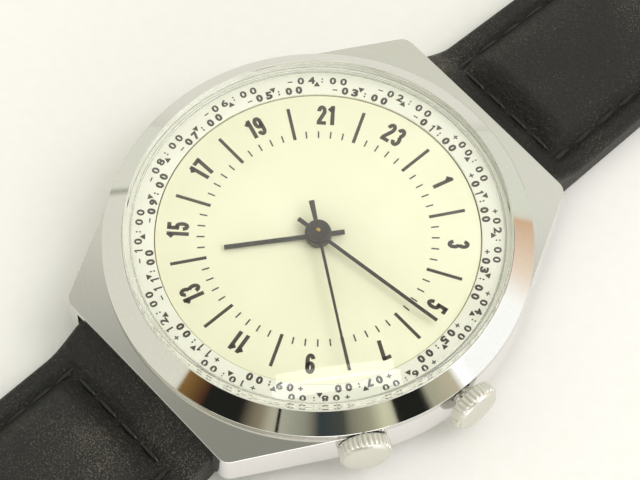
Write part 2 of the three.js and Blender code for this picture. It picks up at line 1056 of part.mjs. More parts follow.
// Balance with its staff, collet and roller
const cockHigh = plateLow - 0.9;
const cockLow = cockHigh - 0.45;
const springLow = cockHigh + 0.1;
const springHigh = springLow + 0.16;
const springOuter = 2.4;
const springThick = 0.07;
const springTurns = 6;
const springStart = 60 * degrees;
const balanceLow = springHigh + wheelGap;
const balanceThick = 0.26;
const balanceRim = 0.55;
const armWidth = 0.5;
const colletRadius = 0.45;
const rollerHigh = forkLow - 0.18;
const rollerThick = 0.2;
const rollerRadius = 0.72;
const rollerPinRadius = 0.08;
const armReach = balanceRadius - balanceRim / 2;
place(
  "balance_wheel",
  join(
    ring(
      balanceRadius - balanceRim,
      balanceRadius,
      balanceLow,
      balanceLow + balanceThick,
      roomSteps,
    ),
    bar(
      [-armReach, 0],
      [armReach, 0],
      armWidth,
      balanceLow + slideFit,
      balanceLow + balanceThick - slideFit,
    ),
    disc(colletRadius, springLow, balanceLow + weld),
    disc(arborRadius, springLow, recessTop - endShake, pinSteps),
    disc(pivotRadius, cockLow + weld, recessTop + pivotIn, pinSteps),
    disc(rollerRadius, rollerHigh - rollerThick, rollerHigh),
    disc(rollerPinRadius, rollerHigh - slideFit, forkHigh, pinSteps, rollerPinReach),
  ),
  brass,
  [...balancePlace, 0],
  forkDirection + Math.PI,
);
place(
  "balance_spring",
  ribbon(
    colletRadius + springThick + slideFit,
    springOuter,
    springTurns,
    springThick,
    springLow,
    springHigh,
  ),
  steel,
  [...balancePlace, 0],
  springStart,
);

// Mainspring barrel

const barrelWallInner = 5.2;
const barrelWallOuter = 5.5;
const barrelSheet = 0.13;
const barrelToothLow = centrePinionLow + 0.07;
const barrelToothThick = 0.26;
const barrelArborRadius = 0.58;
const barrelArborBody = 1.2;
const mainspringThick = 0.18;
const mainspringTurns = 5;
const barrelFloor = barrelLow + barrelSheet;
const barrelRoof = barrelTop - barrelSheet;
const barrelDirection = Math.atan2(barrelPlace[1], barrelPlace[0]);
const barrelBore = disc(barrelArborRadius + runFit, 0, through);
place(
  "barrel_drum",
  cut(
    join(
      disc(barrelWallOuter, barrelFloor + pressGap, barrelTop, drumSteps),
      gear(barrelTeeth, barrelModule, barrelToothLow, barrelToothLow + barrelToothThick),
    ),
    disc(barrelWallInner, 0, barrelRoof, drumSteps),
    barrelBore,
  ),
  brass,
  [...barrelPlace, 0],
  meshPhase(centrePinionTeeth, centrePhase, barrelTeeth, barrelDirection),
);
place(
  "barrel_cover",
  cut(disc(barrelWallOuter, barrelLow, barrelFloor, drumSteps), barrelBore),
  brass,
  [...barrelPlace, 0],
);
place(
  "mainspring",
  ribbon(
    barrelArborBody + mainspringThick / 2 + 0.2,
    barrelWallInner - mainspringThick / 2 - slideFit,
    mainspringTurns,
    mainspringThick,
    barrelFloor + slideFit,
    barrelRoof - slideFit,
  ),
  steel,
  [...barrelPlace, 0],
);

// Winding work on the barrel bridge

const windHigh = bridgeLow - slideFit;
const windLow = windHigh - 0.4;
const ratchetDirection = Math.atan2(
  barrelPlace[1] - crownWheelPlace[1],
  barrelPlace[0] - crownWheelPlace[0],
);
const crownWheelPhase = Math.PI / crownWheelTeeth;
const headThick = 0.35;
const slotWidth = 0.24;
const slotDepth = 0.15;
const arborScrewRadius = 0.28;
const arborScrewDepth = 0.9;
const ratchetHeadRadius = 1.0;
const crownWheelHub = 0.8;
const crownWheelHead = 1.2;
const crownWheelPin = 0.35;
place(
  "barrel_arbor",
  cut(
    join(
      disc(barrelArborRadius, windLow + slideFit, recessTop + pivotIn),
      disc(barrelArborBody, barrelFloor + endShake, barrelRoof - endShake),
    ),
    disc(arborScrewRadius + pressGap, 0, windLow + arborScrewDepth + weld, pinSteps),
  ),
  steel,
  [...barrelPlace, 0],
);
place(
  "ratchet_wheel",
  cut(
    gear(ratchetTeeth, windModule, windLow, windHigh),
    disc(barrelArborRadius + slideFit, 0, through),
  ),
  steel,
  [...barrelPlace, 0],
  meshPhase(crownWheelTeeth, crownWheelPhase, ratchetTeeth, ratchetDirection),
);
place(
  "ratchet_screw",
  join(
    slotted(ratchetHeadRadius, windLow - headThick, windLow - pressGap),
    disc(arborScrewRadius, windLow - weld, windLow + arborScrewDepth, pinSteps),
  ),
  steel,
  [...barrelPlace, 0],
);
place(
  "crown_wheel",
  cut(
    gear(crownWheelTeeth, windModule, windLow, windHigh),
    disc(crownWheelHub + runFit, 0, through),
  ),
  steel,
  [...crownWheelPlace, 0],
  crownWheelPhase,
);
place(
  "crown_wheel_screw",
  join(
    slotted(crownWheelHead, windLow - headThick, windLow - runFit),
    disc(crownWheelHub, windLow - weld, bridgeLow - shakeFit),
    disc(crownWheelPin, bridgeLow - weld, plateLow - slideFit, pinSteps),
  ),
  steel,
  [...crownWheelPlace, 0],
);

// A screw head whose slotted face looks down
function slotted(radius, low, high) {
  const slot = block(
    -radius - 1,
    radius + 1,
    -slotWidth / 2,
    slotWidth / 2,
    low - 1,
    low + slotDepth,
  );
  return cut(disc(radius, low, high), slot);
}

// Click that holds the ratchet
const clickTurn = 200 * degrees;
const clickReach = (ratchetTeeth * windModule) / 2 + 1.35;
const clickPlace = [
  barrelPlace[0] + clickReach * Math.cos(clickTurn),
  barrelPlace[1] + clickReach * Math.sin(clickTurn),
];
const clickHead = 0.7;
const clickTip = [0.55, -1.5];
const clickWidth = 0.5;
const clickPost = 0.3;
place(
  "click",
  join(
    disc(clickHead, windLow, windHigh),
    bar([0, 0], clickTip, clickWidth, windLow, windHigh),
    disc(clickPost, windHigh - weld, plateLow - slideFit, pinSteps),
  ),
  steel,
  [...clickPlace, 0],
  clickTurn + Math.PI / 2,
);

// Stem, winding pinion and clutch wheel

const stemInner = 5.0;
const stemCore = 0.45;
const stemNeck = 0.32;
const neckHalf = 0.3;
const leverX = 10.2;
const leverPivot = [leverX, -2.9];
const stemShoulder = leverX - 0.9;
const stemEnd = crownCup - slideFit; // how far the stem reaches into its crown
place(
  "winding_stem",
  alongStem(
    turned(
      [
        [0, stemInner],
        [stemCore, stemInner],
        [stemCore, stemShoulder],
        [stemRadius, stemShoulder],
        [stemRadius, leverX - neckHalf],
        [stemNeck, leverX - neckHalf],
        [stemNeck, leverX + neckHalf],
        [stemRadius, leverX + neckHalf],
        [stemRadius, windingCrownStart + stemEnd],
        [0, windingCrownStart + stemEnd],
      ],
      postSteps,
    ),
  ),
  steel,
);

const windPinionHalf = 0.3;
const windPinionLow = windMeshX - windPinionHalf;
const windPinionHigh = windMeshX + windPinionHalf;
const windHub = 0.9;
const clutchLength = 1.5;
const clutchGroove = 0.65;
const clutchFlange = 0.5;

place(
  "winding_pinion",
  cut(
    join(
      alongStem(gear(windPinionTeeth, windModule, windPinionLow, windPinionHigh)),
      stemBar(windHub, windPinionLow - 0.2, windPinionHigh + 0.15),
    ),
    stemBar(stemCore + slideFit, 0, through),
  ),
  steel,
);
const clutchHigh = windPinionLow - windPinionHalf;
const clutchLow = clutchHigh - clutchLength;
place(
  "clutch_wheel",
  cut(
    alongStem(
      turned(
        closed([
          [stemCore + slideFit, clutchLow],
          [windHub, clutchLow],
          [windHub, clutchLow + clutchFlange],
          [clutchGroove, clutchLow + clutchFlange],
          [clutchGroove, clutchHigh - clutchFlange - weld],
          [windHub, clutchHigh - clutchFlange - weld],
          [windHub, clutchHigh],
          [stemCore + slideFit, clutchHigh],
        ]),
        postSteps,
      ),
    ),
    clutchNotches(),
  ),
  steel,
);

// Radial notches that catch the winding pinion
function clutchNotches() {
  const half = slotWidth / 2;
  const notch = block(-2, 2, -half, half, clutchHigh - slotDepth, clutchHigh + 1);
  return alongStem(join(notch, notch.rotate([0, 0, 90])));
}

// Setting lever over the plate, its pin in the stem's neck
const leverLow = plateTop + slideFit;
const leverHigh = leverLow + 0.3;
const leverWidth = 0.8;
const leverPin = 0.22;
const leverPost = 0.4;
const leverPostLength = 1.7;
place(
  "setting_lever",
  join(
    disc(leverWidth, leverLow, leverHigh),
    bar([0, 0], [0, -leverPivot[1]], leverWidth, leverLow, leverHigh),
    disc(
      leverPin,
      stemHeight + stemNeck + slideFit,
      leverLow + weld,
      pinSteps,
      0,
      -leverPivot[1],
    ),
    disc(leverPost, leverLow - leverPostLength, leverLow + weld),
  ),
  steel,
  [...leverPivot, 0],
);

// Plate and bridges

const screwRadius = 0.32;
const screwDepth = 1.3;
const screwHead = 0.65;
const trainScrews = [
  polar(movementRadius - 1.9, 190 * degrees),
  polar(movementRadius - 1.9, -23 * degrees),
];
const barrelScrews = [
  polar(movementRadius - 3.3, 148 * degrees),
  polar(movementRadius - 1.3, 25 * degrees),
];
const cockFoot = [-8.0, -7.9];
const palletBarEnd = [3.7, forkPlace[1]];
const recessRoom = 0.3;

function holesAt(places, radius, low = 0, high = through) {
  return places.map(([x, y]) => disc(radius, low, high, pinSteps, x, y));
}

function makePlate() {
  const recess = (centre, radius) =>
    disc(radius + recessRoom, plateLow - 1, recessTop, roomSteps, ...centre);
  const reach = (teeth, module) => (teeth / 2 + toothHeight) * module;
  const leverRoom = leverPin + 0.4;
  const leverSlot = block(
    leverX - neckHalf - weld,
    leverX + neckHalf + crownPull + 0.2,
    -leverRoom,
    leverRoom,
    stemHeight,
    plateTop + 1,
  );
  const pinionRoom = reach(windPinionTeeth, windModule) + 0.15;
  const pinionSlot = block(
    clutchLow - crownPull,
    windPinionHigh + recessRoom,
    -pinionRoom,
    pinionRoom,
    plateLow - 1,
    plateTop + 1,
  );
  return cut(
    disc(movementRadius, plateLow, plateTop, caseSteps),
    recess([0, 0], reach(centreTeeth, trainModule)),
    recess(thirdPlace, reach(thirdTeeth, thirdModule)),
    recess(escapePlace, escapeRadius),
    recess(forkPlace, palletReach + palletWidth),
    recess(balancePlace, balanceRadius),
    recess(barrelPlace, reach(barrelTeeth, barrelModule) - 0.1),
    disc(centreTubeOuter + runFit, 0, through),
    disc(barrelArborRadius + runFit, 0, through, postSteps, ...barrelPlace),
    disc(leverPost + runFit, 0, through, postSteps, ...leverPivot),
    ...holesAt([thirdPlace, escapePlace, forkPlace, balancePlace], pivotRadius + runFit),
    ...holesAt(dialFootPlaces, dialFootRadius + pressGap),
    ...holesAt(
      [...trainScrews, ...barrelScrews, cockFoot],
      screwRadius + pressGap,
      plateLow - 1,
      plateLow + screwDepth,
    ),
    stemBar(stemRadius + runFit, windPinionHigh, through),
    stemBar(stemCore + runFit, stemInner - 1, windPinionHigh),
    leverSlot,
    pinionSlot,
  );
}

function makeMinutePost() {
  return disc(
    pivotRadius,
    plateTop - weld,
    hourWheelLow + wheelThick,
    pinSteps,
    ...minuteWheelPlace,
  );
}

place("main_plate", join(makePlate(), makeMinutePost()), brass);

const bridgeInset = 0.3;
const bridgeHigh = plateLow - shakeFit;
const bridgeDisc = disc(movementRadius - bridgeInset, bridgeLow, bridgeHigh, drumSteps);
const balanceRoom = disc(balanceRadius + recessRoom, 0, through, roomSteps, ...balancePlace);
const bridgeSplit = 0.8; // barrel bridge's edge, behind the centre
const bridgeGap = 0.2;
const trainBridgeEdge = -5.3; // where the balance's half begins
const stemSide = windPinionLow - 0.45; // bridges end before the stem's wheels
const splitX = 3.6;
const splitY = -1.9;
const stemRoomY = 2.2;

function bridgeFrom(outline) {
  return plate(polygon(outline), bridgeLow - 1, plateLow + 1).intersect(
    bridgeDisc,
  );
}

place(
  "train_bridge",
  cut(
    bridgeFrom([
      [-through, trainBridgeEdge],
      [through, trainBridgeEdge],
      [through, splitY - bridgeGap],
      [splitX - bridgeGap, splitY - bridgeGap],
      [splitX - bridgeGap, bridgeSplit - bridgeGap],
      [-through, bridgeSplit - bridgeGap],
    ]),
    balanceRoom,
    ...holesAt([thirdPlace, escapePlace], pivotRadius + runFit),
    ...holesAt([[0, 0]], secondArbor + runFit),
    ...holesAt(trainScrews, screwRadius + pressGap),
  ),
  satin,
);
place(
  "barrel_bridge",
  cut(
    bridgeFrom([
      [-through, bridgeSplit],
      [splitX, bridgeSplit],
      [splitX, splitY],
      [stemSide, splitY],
      [stemSide, stemRoomY],
      [through, stemRoomY],
      [through, through],
      [-through, through],
    ]),
    disc(barrelArborRadius + runFit, 0, through, postSteps, ...barrelPlace),
    ...holesAt([crownWheelPlace], crownWheelPin + pressGap),
    ...holesAt([clickPlace], clickPost + runFit),
    ...holesAt(barrelScrews, screwRadius + pressGap),
  ),
  satin,
);
const studRadius = 0.22;
const studReach = springOuter + studRadius + 0.06;
const studPlace = [
  balancePlace[0] + studReach * Math.cos(springStart),
  balancePlace[1] + studReach * Math.sin(springStart),
];
const cockWidth = 2.2;
const cockFootRadius = 1.4;
const cockHeadRadius = 1.5;
const studArmWidth = 0.6;
place(
  "balance_cock",
  cut(
    join(
      bar(cockFoot, balancePlace, cockWidth, cockLow, cockHigh),
      disc(cockFootRadius, cockLow, bridgeHigh, postSteps, ...cockFoot),
      disc(cockHeadRadius, cockLow, cockHigh, postSteps, ...balancePlace),
      bar(balancePlace, studPlace, studArmWidth, cockLow, cockHigh),
      disc(studRadius, cockLow + weld, springHigh, pinSteps, ...studPlace),
    ),
    ...holesAt([balancePlace], pivotRadius + runFit),
    ...holesAt([cockFoot], screwRadius + pressGap),
  ),
  satin,
);
const palletBridgeHalf = 0.5;
const palletBridgeLow = plateLow - 0.2;

function palletBridgeEnd(where) {
  return disc(palletBridgeHalf, palletBridgeLow, bridgeHigh, postSteps, ...where);
}

place(
  "pallet_bridge",
  cut(
    join(
      bar(forkPlace, palletBarEnd, 2 * palletBridgeHalf, palletBridgeLow, bridgeHigh),
      palletBridgeEnd(forkPlace),
      palletBridgeEnd(palletBarEnd),
    ),
    ...holesAt([forkPlace], pivotRadius + runFit),
  ),
  satin,
);

function bridgeScrew(seat) {
  return join(
    slotted(screwHead, seat - headThick, seat - shakeFit),
    disc(screwRadius, seat - weld, plateLow + screwDepth - weld, pinSteps),
  );
}

const bridgeScrews = [
  ["train_bridge_screw_left", trainScrews[0], bridgeLow],
  ["train_bridge_screw_right", trainScrews[1], bridgeLow],
  ["barrel_bridge_screw_left", barrelScrews[0], bridgeLow],
  ["barrel_bridge_screw_right", barrelScrews[1], bridgeLow],
  ["balance_cock_screw", cockFoot, cockLow],
];
for (const [name, where, seat] of bridgeScrews) {
  place(name, bridgeScrew(seat), steel, [...where, 0]);
}

// Movement holder between plate and case

place(
  "movement_holder",
  cut(
    ring(
      holderInner,
      holderOuter - pressGap,
      backSeat + holderGap,
      dialLow - shakeFit,
      caseSteps,
    ),
    stemBar(stemRadius + 0.2, 0, through),
  ),
  steel,
);

// Crowns with their tubes

// The cup in a crown takes the tube; the stem ends on the cup's floor
function crownSolid(start, height = stemHeight) {
  const end = start + fluteLength;
  const points = [];
  for (let i = 0; i < crownFlutes; i += 1) {
    const pitch = (2 * Math.PI) / crownFlutes;
    points.push(polar(crownRadius, i * pitch));
    points.push(polar(crownRadius - fluteDepth, (i + 0.5) * pitch));
  }
  const fluted = plate(polygon(points), start, end);
  const dome = turned(
    [
      [0, end - weld],
      [crownRadius - fluteDepth, end - weld],
      [crownRadius - fluteDepth, end + 0.3 * crownDome],
      [crownRadius * 0.7, end + 0.75 * crownDome],
      [0, end + crownDome],
    ],
    crownFlutes,
  );
  const cup = disc(tubeRadius + 0.1, start - 1, start + crownCup);
  return alongStem(cut(join(fluted, dome), cup), height);
}

function tubeSolid(from, to, height = stemHeight) {
  return cut(stemBar(tubeRadius, from, to, height), stemBar(tubeInner, 0, through, height));
}

place(
  "winding_tube",
  tubeSolid(holderOuter + slideFit, windingCrownStart + tubeReach),
  steel,
);
place("winding_crown", crownSolid(windingCrownStart), steel);
place(
  "zone_tube",
  tubeSolid(
    ringToothOuter + zonePinionPlay + 0.2,
    zoneCrownStart + tubeReach,
    zoneHeight,
  ),
  steel,
  [0, 0, 0],
  zoneDirection,
);
place(
  "zone_crown",
  crownSolid(zoneCrownStart, zoneHeight),
  steel,
  [0, 0, 0],
  zoneDirection,
);
place(
  "zone_stem",
  join(
    alongStem(zonePinion(), zoneHeight),
    stemBar(stemRadius, ringToothOuter - weld, zoneCrownStart + stemEnd, zoneHeight),
  ),
  steel,
  [0, 0, 0],
  zoneDirection,
);

// Narrow leaves, one of them straight up
function zonePinion() {
  const points = [];
  const pitch = (2 * Math.PI) / zonePinionTeeth;
  const tip = zonePitchRadius + zoneLeafTip;
  const root = zonePitchRadius - zoneLeafRoot;
  const leafRootHalf = 0.22; // shares of the pitch
  const leafTipHalf = 0.09;
  for (let i = 0; i < zonePinionTeeth; i += 1) {
    const middle = Math.PI + i * pitch;
    points.push(polar(root, middle - leafRootHalf * pitch));
    points.push(polar(tip, middle - leafTipHalf * pitch));
    points.push(polar(tip, middle + leafTipHalf * pitch));
    points.push(polar(root, middle + leafRootHalf * pitch));
  }
  const from = ringToothInner - slideFit;
  return plate(polygon(points), from, ringToothOuter + zonePinionPlay);
}

// Spring bars

function springBar(side) {
  return join(
    crossBar(barRadius, notchHalfWidth - barTipPlay, side * barReach, barHeight),
    crossBar(barTipRadius, notchHalfWidth + barTipReach, side * barReach, barHeight),
  );
}

place("spring_bar_top", springBar(1), steel);
place("spring_bar_bottom", springBar(-1), steel);

// Strap: a lofted band of cross sections, with a padded crown between its stitched edges

function smooth(from, to, value) {
  const t = Math.min(1, Math.max(0, (value - from) / (to - from)));
  return t * t * (3 - 2 * t);
}

function strapSection(y, halfWidth, low, edgeTop, pad) {
  const rim = 0.25;
  const inner = halfWidth - stitchMargin;
  const shoulder = 0.7; // share of the pad's half width
  const top = [
    [halfWidth, edgeTop - rim],
    [halfWidth - rim, edgeTop],
    [inner, edgeTop],
    [inner * shoulder, edgeTop + 0.75 * pad],
    [0, edgeTop + pad],
  ];
  const mirrored = top
    .slice(0, -1)
    .reverse()
    .map(([x, z]) => [-x, z]);
  return [[-halfWidth, low], [halfWidth, low], ...top, ...mirrored].map(
    ([x, z]) => [x, y, z],
  );
}

function loft(sections) {
  const size = sections[0].length;
  const last = (sections.length - 1) * size;
  const index = [];
  for (let i = 0; i + 1 < sections.length; i += 1) {
    for (let j = 0; j < size; j += 1) {
      const k = (j + 1) % size;
      const a = i * size + j;
      const b = i * size + k;
      index.push(a, b, a + size, b, b + size, a + size);
    }
  }
  for (let j = 1; j + 1 < size; j += 1) {
    index.push(0, j + 1, j, last, last + j, last + j + 1);
  }
  const geometry = new THREE.BufferGeometry();
  geometry.setAttribute(
    "position",
    new THREE.BufferAttribute(new Float32Array(sections.flat(2)), 3),
  );
  geometry.setIndex(index);
  return solidOf(geometry);
}

function halfWidthAt(y) {
  const taper = (y - barReach) / taperLength;
  const width =
    strapWidth - (strapWidth - strapEndWidth) * Math.min(1, Math.max(0, taper));
  return width / 2;
}

// Half height of the loop round the spring bar, on its rounded side
function loopHalf(y) {
  return Math.sqrt(Math.max(0, loopRadius ** 2 - (y - barReach) ** 2));
}

// Height of the band's underside: round the spring bar, then down to the table
const undersideRun = 2.6;
const topRun = 3.6;

function undersideAt(y, lift) {
  const down = smooth(barReach, barReach + undersideRun, y);
  const loop = barHeight - loopHalf(y);
  const base = y < barReach ? loop : (barHeight - loopRadius) * (1 - down);
  return Math.max(base, strapFloor) + lift;
}

function edgeTopAt(y, lift) {
  const down = smooth(barReach, barReach + topRun, y);
  const high = barHeight + loopRadius;
  const flat = strapFloor + strapThick;
  return (y < barReach ? barHeight + loopHalf(y) : high + (flat - high) * down) + lift;
}

const padStart = 1.4; // from the spring bar
const padFull = 4.5;

function padAt(y, fadeFrom, fadeTo) {
  return (
    padHeight *
    smooth(barReach + padStart, barReach + padFull, y) *
    (1 - smooth(fadeFrom, fadeTo, y))
  );
}

const loopSteps = [-0.99, -0.9, -0.7, -0.4, 0].map((share) => share * loopRadius);
const bendSteps = [0.9, 1.9, 2.9, 4.1, 6.1, 11.1, 19.1];
const shoulderStops = [...loopSteps, ...bendSteps].map((step) => barReach + step);

const fixedKeeperY = buckleBarY - keeperInset;
const freeKeeperY = fixedKeeperY - keeperStep;
const keeperRun = 8; // the free keeper's travel and the strap it needs
const liftRun = 8;
const liftStart = freeKeeperY - keeperRun - liftRun;
const liftFull = freeKeeperY - keeperRun;
const dropStart = fixedKeeperY + keeperLength + 0.6;
const dropEnd = buckleBarY - 3;

// The band passes over the keepers' lower walls
function liftAt(y) {
  return keeperLift * smooth(liftStart, liftFull, y) * (1 - smooth(dropStart, dropEnd, y));
}

function bandSolid(stops, fadeFrom, fadeTo, lifted) {
  return loft(
    stops.map((y) => {
      const lift = lifted ? liftAt(y) : 0;
      return strapSection(
        y,
        halfWidthAt(y),
        undersideAt(y, lift),
        edgeTopAt(y, lift),
        padAt(y, fadeFrom, fadeTo),
      );
    }),
  );
}

const barBore = crossBar(
  barRadius + runFit,
  strapWidth,
  barReach,
  barHeight,
);

function buckleBore(height = buckleBarHeight) {
  return crossBar(buckleBarRadius + runFit, strapWidth, buckleBarY, height);
}

function buckleSide() {
  const fadeFrom = liftStart - 8;
  const fadeTo = liftFull + 4;
  const stops = [
    ...shoulderStops,
    fadeFrom,
    liftStart,
    (liftStart + liftFull) / 2,
    liftFull,
    dropStart,
    (dropStart + dropEnd) / 2,
    dropEnd,
    buckleBarY,
  ];
  const band = bandSolid(stops, fadeFrom, fadeTo, true);
  const bendTop = crossBar(
    buckleLoopRadius,
    strapEndWidth / 2,
    buckleBarY,
    buckleBarHeight,
  );
  const tongueSlot = block(
    -tongueWidth / 2 - tongueSlotPlay,
    tongueWidth / 2 + tongueSlotPlay,
    buckleBarY - tongueSlotLength,
    buckleBarY + through,
    -1,
    through,
  );
  return cut(join(band, bendTop), barBore, buckleBore(), tongueSlot);
}

function tailSide() {
  const end = barReach + tailLength;
  const fadeFrom = barReach + tailPadLength;
  const fadeTo = fadeFrom + tailPadFade;
  const stops = [...shoulderStops, fadeFrom, (fadeFrom + fadeTo) / 2, fadeTo, end];
  const band = bandSolid(stops, fadeFrom, fadeTo, false);
  const holes = [];
  for (let i = 0; i < holeCount; i += 1) {
    const y = end - firstHole - i * holePitch;
    holes.push(disc(holeRadius, -1, through, pinSteps, 0, y));
  }
  const tip = new THREE.Shape();
  const half = strapEndWidth / 2;
  const tipStart = end - tipLength;
  tip.moveTo(-strapWidth, 0);
  tip.lineTo(strapWidth, 0);
  tip.lineTo(strapWidth, tipStart);
  tip.lineTo(half, tipStart);
  tip.quadraticCurveTo(half - 1, end - tipRound, 0, end);
  tip.quadraticCurveTo(-half + 1, end - tipRound, -half, tipStart);
  tip.lineTo(-strapWidth, tipStart);
  return cut(band.intersect(plate(tip, -1, through, tipSteps)), barBore, ...holes);
}

place("strap_buckle_side", buckleSide(), leather);
place("strap_tail_side", tailSide().rotate([0, 0, 180]), leather);

// Keepers: flat loops of leather round the band, with room for the tail over it
function keeper(from) {
  const half = strapEndWidth / 2 + keeperPlay;
  const innerLow = strapFloor + keeperLift - keeperPlay;
  const innerHigh = strapFloor + keeperLift + 2 * strapThick + keeperRoom;
  const low = innerLow - keeperThick;
  const to = from + keeperLength;
  return cut(
    block(-half - keeperThick, half + keeperThick, from, to, low, innerHigh + keeperThick),
    block(-half, half, from - 1, to + 1, innerLow, innerHigh),
  );
}

place("free_keeper", keeper(freeKeeperY), leather);
place("fixed_keeper", keeper(fixedKeeperY), leather);

// Buckle

const buckleHalf = strapEndWidth / 2 + buckleSideGap;
const buckleEnd = buckleBarY + buckleWindow;

function buckleFrame() {
  const outer = buckleHalf + buckleWire;
  const far = buckleEnd + buckleWire;
  const near = buckleBarY - buckleHeel;
  const r = buckleCorner;
  const shape = new THREE.Shape();
  shape.moveTo(-outer, near);
  shape.lineTo(-buckleHalf, near);
  shape.lineTo(-buckleHalf, buckleEnd);
  shape.lineTo(buckleHalf, buckleEnd);
  shape.lineTo(buckleHalf, near);
  shape.lineTo(outer, near);
  shape.absarc(outer - r, far - r, r, 0, Math.PI / 2);
  shape.absarc(-outer + r, far - r, r, Math.PI / 2, Math.PI);
  const half = buckleWire / 2;
  return cut(
    plate(shape, buckleBarHeight - half, buckleBarHeight + half, tipSteps),
    buckleBore(),
  );
}

place("buckle_frame", buckleFrame(), steel);
place(
  "buckle_bar",
  crossBar(
    buckleBarRadius,
    buckleHalf + buckleWire,
    buckleBarY,
    buckleBarHeight,
  ),
  steel,
);

// Tongue: an eye round the bar and a flat finger that rests on the frame
function tongue() {
  const eyeRadius = buckleBarRadius + tongueEye;
  const eye = crossBar(eyeRadius, tongueWidth / 2, buckleBarY, buckleBarHeight);
  const rest = buckleBarHeight + buckleWire / 2 + pressGap;
  const tipY = buckleEnd + buckleWire + 0.2;
  const finger = new THREE.Shape();
  finger.moveTo(buckleBarY, buckleBarHeight + buckleBarRadius + weld);
  finger.lineTo(buckleEnd - 2, rest);
  finger.lineTo(tipY, rest);
  finger.lineTo(tipY, rest + tongueTip);
  finger.lineTo(buckleEnd, rest + tongueThick);
  finger.lineTo(buckleBarY, buckleBarHeight + eyeRadius + weld);
  const half = tongueWidth / 2;
  const blade = plate(finger, -half, half).rotate([90, 0, 90]);
  return cut(join(eye, blade), buckleBore());
}

place("buckle_tongue", tongue(), steel);

export default watch;
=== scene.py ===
# %% [markdown]
# A wristwatch with a 24-hour dial, a turning ring of time zones and a padded leather strap.
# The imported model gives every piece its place. This lesson dresses each of them: first the
# room with its light, then the metal, the crystal, the dial with its print, the hands, the
# crowns, the leather and at last the movement, which stays as it was packed.

# %% Load the frame
from math import acos, atan2, cos, hypot, pi, radians, sin, sqrt
import bmesh
import bpy
from mathutils import Matrix, Vector


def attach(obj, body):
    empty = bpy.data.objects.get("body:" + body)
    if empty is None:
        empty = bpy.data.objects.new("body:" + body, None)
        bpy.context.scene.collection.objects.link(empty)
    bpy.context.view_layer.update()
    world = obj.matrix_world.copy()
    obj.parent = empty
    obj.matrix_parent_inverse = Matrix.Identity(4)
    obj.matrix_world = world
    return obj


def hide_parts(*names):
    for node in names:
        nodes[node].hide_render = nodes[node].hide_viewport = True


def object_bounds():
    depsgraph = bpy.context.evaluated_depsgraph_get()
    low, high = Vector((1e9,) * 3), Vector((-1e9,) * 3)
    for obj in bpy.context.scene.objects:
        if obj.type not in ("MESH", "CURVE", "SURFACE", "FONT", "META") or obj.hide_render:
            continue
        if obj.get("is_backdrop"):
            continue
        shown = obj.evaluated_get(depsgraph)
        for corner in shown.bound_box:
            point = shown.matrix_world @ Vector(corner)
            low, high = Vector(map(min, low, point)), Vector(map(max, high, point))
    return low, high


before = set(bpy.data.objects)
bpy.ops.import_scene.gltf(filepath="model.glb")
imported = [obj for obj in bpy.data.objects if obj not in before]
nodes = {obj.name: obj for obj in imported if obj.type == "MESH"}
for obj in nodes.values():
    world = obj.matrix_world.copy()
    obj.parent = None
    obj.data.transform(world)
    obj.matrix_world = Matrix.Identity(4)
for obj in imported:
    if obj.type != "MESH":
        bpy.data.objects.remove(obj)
cad_box = [list(corner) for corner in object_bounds()]
MM = 0.001
print("packed pieces:", len(nodes), "size in mm:", [
    round((high - low) / MM, 1) for low, high in zip(*cad_box)])

# %% [markdown]
# Shapes are drawn in millimetres, because that is how a watchmaker gives them, and are
# shrunk to metres once, when a piece is finished. The same helper smooths the round faces,
# keeps the corners sharp, and says which body the piece moves with, which finish it takes
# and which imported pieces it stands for.

# %% Finish a piece
SHARP, CRISP = radians(32), radians(8)  # crisp keeps wide flats flat up to their edges


def finish_piece(name, bm, material, body, replaced=(), sharp=SHARP):
    bmesh.ops.scale(bm, vec=(MM, MM, MM), verts=bm.verts)
    mesh = bpy.data.meshes.new(name)
    bm.to_mesh(mesh)
    bm.free()
    mesh.polygons.foreach_set("use_smooth", [True] * len(mesh.polygons))
    mesh.set_sharp_from_angle(angle=sharp)
    mesh.materials.append(material)
    made = bpy.data.objects.new(name, mesh)
    bpy.context.scene.collection.objects.link(made)
    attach(made, body)
    if replaced:
        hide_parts(*replaced)
    print(name, "faces:", len(mesh.polygons))
    return made


# %% [markdown]
# A lathe makes most of a watch. A few points of the profile are spun round the dial's axis.
# Points on the axis meet in one, and the edges that a turner would break with a stone are
# bevelled, so that each of them catches a line of light.

# %% Turn a profile
FINE = 192  # steps of a turn
MEET = 1e-4  # corners closer than this become one
ALONG_X = Matrix.Rotation(pi / 2, 4, "Y")  # lays the lathe's axis along +X


def break_edges(bm, width, segments=2, sharper=radians(25), chosen=lambda edge: True):
    edges = [e for e in bm.edges if e.is_manifold and e.calc_face_angle() > sharper and chosen(e)]
    bmesh.ops.bevel(bm, geom=edges, offset=width, offset_type="OFFSET", affect="EDGES",
                    segments=segments, profile=0.5, material=-1, clamp_overlap=True)


def turned(profile, edge=0.0, steps=FINE, close=True, segments=2):
    bm = bmesh.new()
    verts = [bm.verts.new((r, 0, z)) for r, z in profile]
    pairs = zip(verts, verts[1:] + verts[:1] if close else verts[1:])
    edges = [bm.edges.new(pair) for pair in pairs]
    bmesh.ops.spin(bm, geom=verts + edges, cent=(0, 0, 0), axis=(0, 0, 1),
                   angle=2 * pi, steps=steps, use_merge=True)
    bmesh.ops.remove_doubles(bm, verts=bm.verts, dist=MEET)
    bmesh.ops.recalc_face_normals(bm, faces=bm.faces)
    if edge:
        break_edges(bm, edge, segments)
    return bm


def moved(bm, matrix):
    bmesh.ops.transform(bm, verts=bm.verts, matrix=matrix)
    return bm


def join(bm, other):
    mesh = bpy.data.meshes.new("joined")
    other.to_mesh(mesh)
    other.free()
    bm.from_mesh(mesh)
    bpy.data.meshes.remove(mesh)


